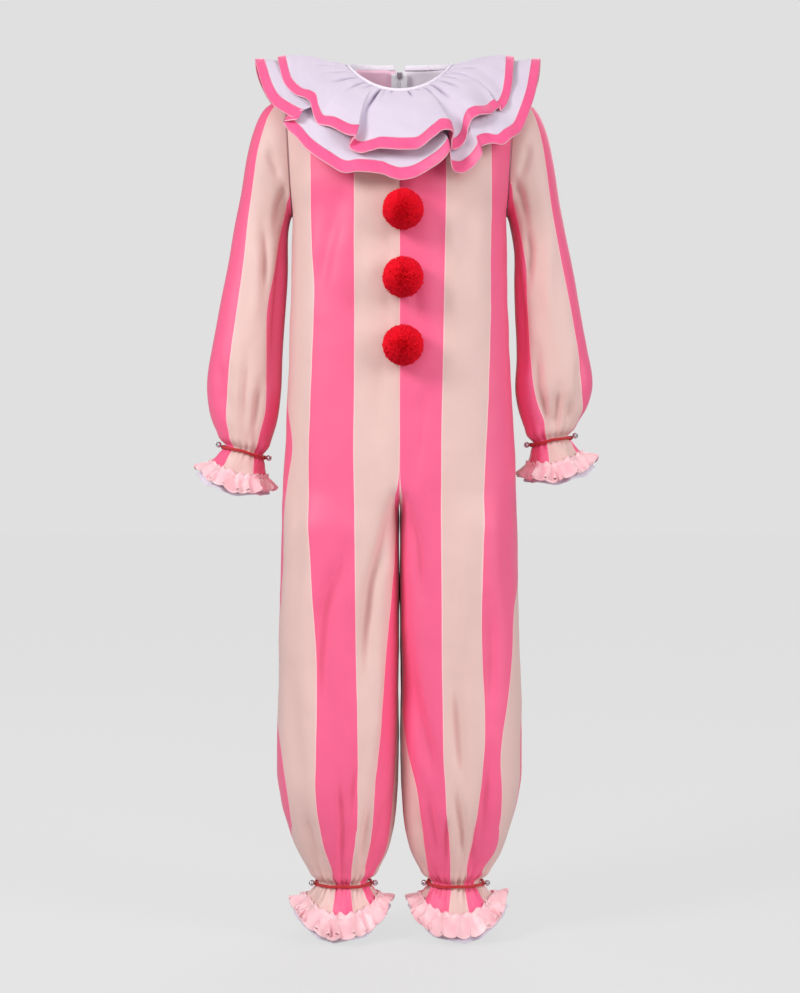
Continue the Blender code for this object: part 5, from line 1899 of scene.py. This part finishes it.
# The parts of the slider, each between two depths: outline, inner and outer depth, rounding.
SLIDER_PLATES = (
    ("plate_out", shield, 0.6, 1.55, 0.28),
    ("plate_in", shield, -4.3, -3.3, 0.28),
    ("divider", [(-1.3, 2.5), (1.3, 2.5), (0.8, 0.7), (-0.8, 0.7)], -3.4, 0.7, 0.15),
    ("crown_top", [(-0.8, 1.9), (0.8, 1.9), (0.8, 0.45), (-0.8, 0.45)], 1.4, 4.9, 0.2),
    ("crown_low", [(-0.8, -2.45), (0.8, -2.45), (0.8, -3.9), (-0.8, -3.9)], 1.4, 4.9, 0.2),
    ("crown", [(-0.8, 1.9), (0.8, 1.9), (0.8, -3.9), (-0.8, -3.9)], 4.3, 4.95, 0.2))
slider = joined("zip_slider_body", [pressed(*plate) for plate in SLIDER_PLATES])
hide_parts("zip_slider")
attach(slider, "suit")

pull = pressed("zip_pull_tab", [
    (-2.5, -0.1), (2.5, -0.1), (2.9, -0.6), (2.9, -5.4), (2.2, -8.5), (2.0, -13.0), (2.3, -18.5),
    (2.6, -21.0), (2.2, -22.3), (1.2, -22.9), (-1.2, -22.9), (-2.2, -22.3), (-2.6, -21.0),
    (-2.3, -18.5), (-2.0, -13.0), (-2.2, -8.5), (-2.9, -5.4), (-2.9, -0.6)], 2.62, 3.74, 0.3,
    holes=[
        [(-1.3, -2.1), (1.3, -2.1), (1.3, -5.2), (0.7, -5.8), (-0.7, -5.8), (-1.3, -5.2)],
        oval(0.0, -16.5, 0.9, 3.6)])
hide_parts("zip_pull")
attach(pull, "zip_pull")

# Stitches. Lock stitches along both edges of the collar's bands, round the neck binding, on
# the sewn line of the ribbons and down the back panels' edges beside the zip.


def stitch_group():
    """Short threads laid end to end along the curves they are given."""
    group, ask, leave = new_group("lock_stitches", "GeometryNodeTree", {
        "Geometry": "Geometry", "Pitch": 0.003, "Length": 0.0024, "Thickness": 0.00025,
        "Finish": "Material"}, {"Geometry": "Geometry"})
    places = node(group, "GeometryNodeCurveToPoints", {
        "Curve": ask["Geometry"], "Length": ask["Pitch"]}, mode="LENGTH")
    line = node(group, "GeometryNodeCurvePrimitiveLine", {
        "Start": (0.0, 0.0, -0.5), "End": (0.0, 0.0, 0.5)})
    bent = node(group, "GeometryNodeResampleCurve", {"Curve": line, "Count": 4})
    along = node(group, "GeometryNodeSplineParameter").outputs["Factor"]
    plump = math_node(group, "POWER", math_node(
        group, "SINE", math_node(group, "MULTIPLY", along, math.pi)), 0.4)
    turned = node(group, "FunctionNodeAlignRotationToVector", {
        "Vector": places.outputs["Tangent"]}, axis="Z")
    laid = node(group, "GeometryNodeInstanceOnPoints", {
        "Points": places, "Instance": tapered_strand(group, bent, plump, 4, ask),
        "Rotation": turned})
    close_group(group, node(group, "GeometryNodeSetShadeSmooth", {"Geometry": laid}), ask, leave)
    return group


lock_stitches = stitch_group()
thread_pink = thread_finish("thread_pink", shade(255, 150, 186), shade(236, 110, 152), 0.45,
                            1800.0)
thread_white = thread_finish("thread_white", shade(248, 244, 250), shade(224, 218, 230), 0.5,
                             1800.0)
thread_pale = thread_finish("thread_pale", shade(252, 214, 216), shade(238, 186, 192), 0.45,
                            1800.0)
for name, thread, closed, spacing, slot_name in (
        ("ruff_stitches", thread_pink, False, 2.8, "band_pink"),
        ("neck_stitches", thread_white, False, 2.6, "ruff_white"),
        ("ribbon_stitches", thread_pale, True, 2.4, "ribbon_satin"),
        ("zip_stitches", thread_pink, False, 2.8, "striped_satin")):
    runs = []
    for path in seams[name]:
        runs.append(grown(line_object(name + "_run", path, closed), lock_stitches,
                          Pitch=spacing * MM, Length=(spacing - 0.5) * MM, Thickness=0.17 * MM,
                          Finish=thread))
    sewn = joined(name, runs)
    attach(sewn, "suit")
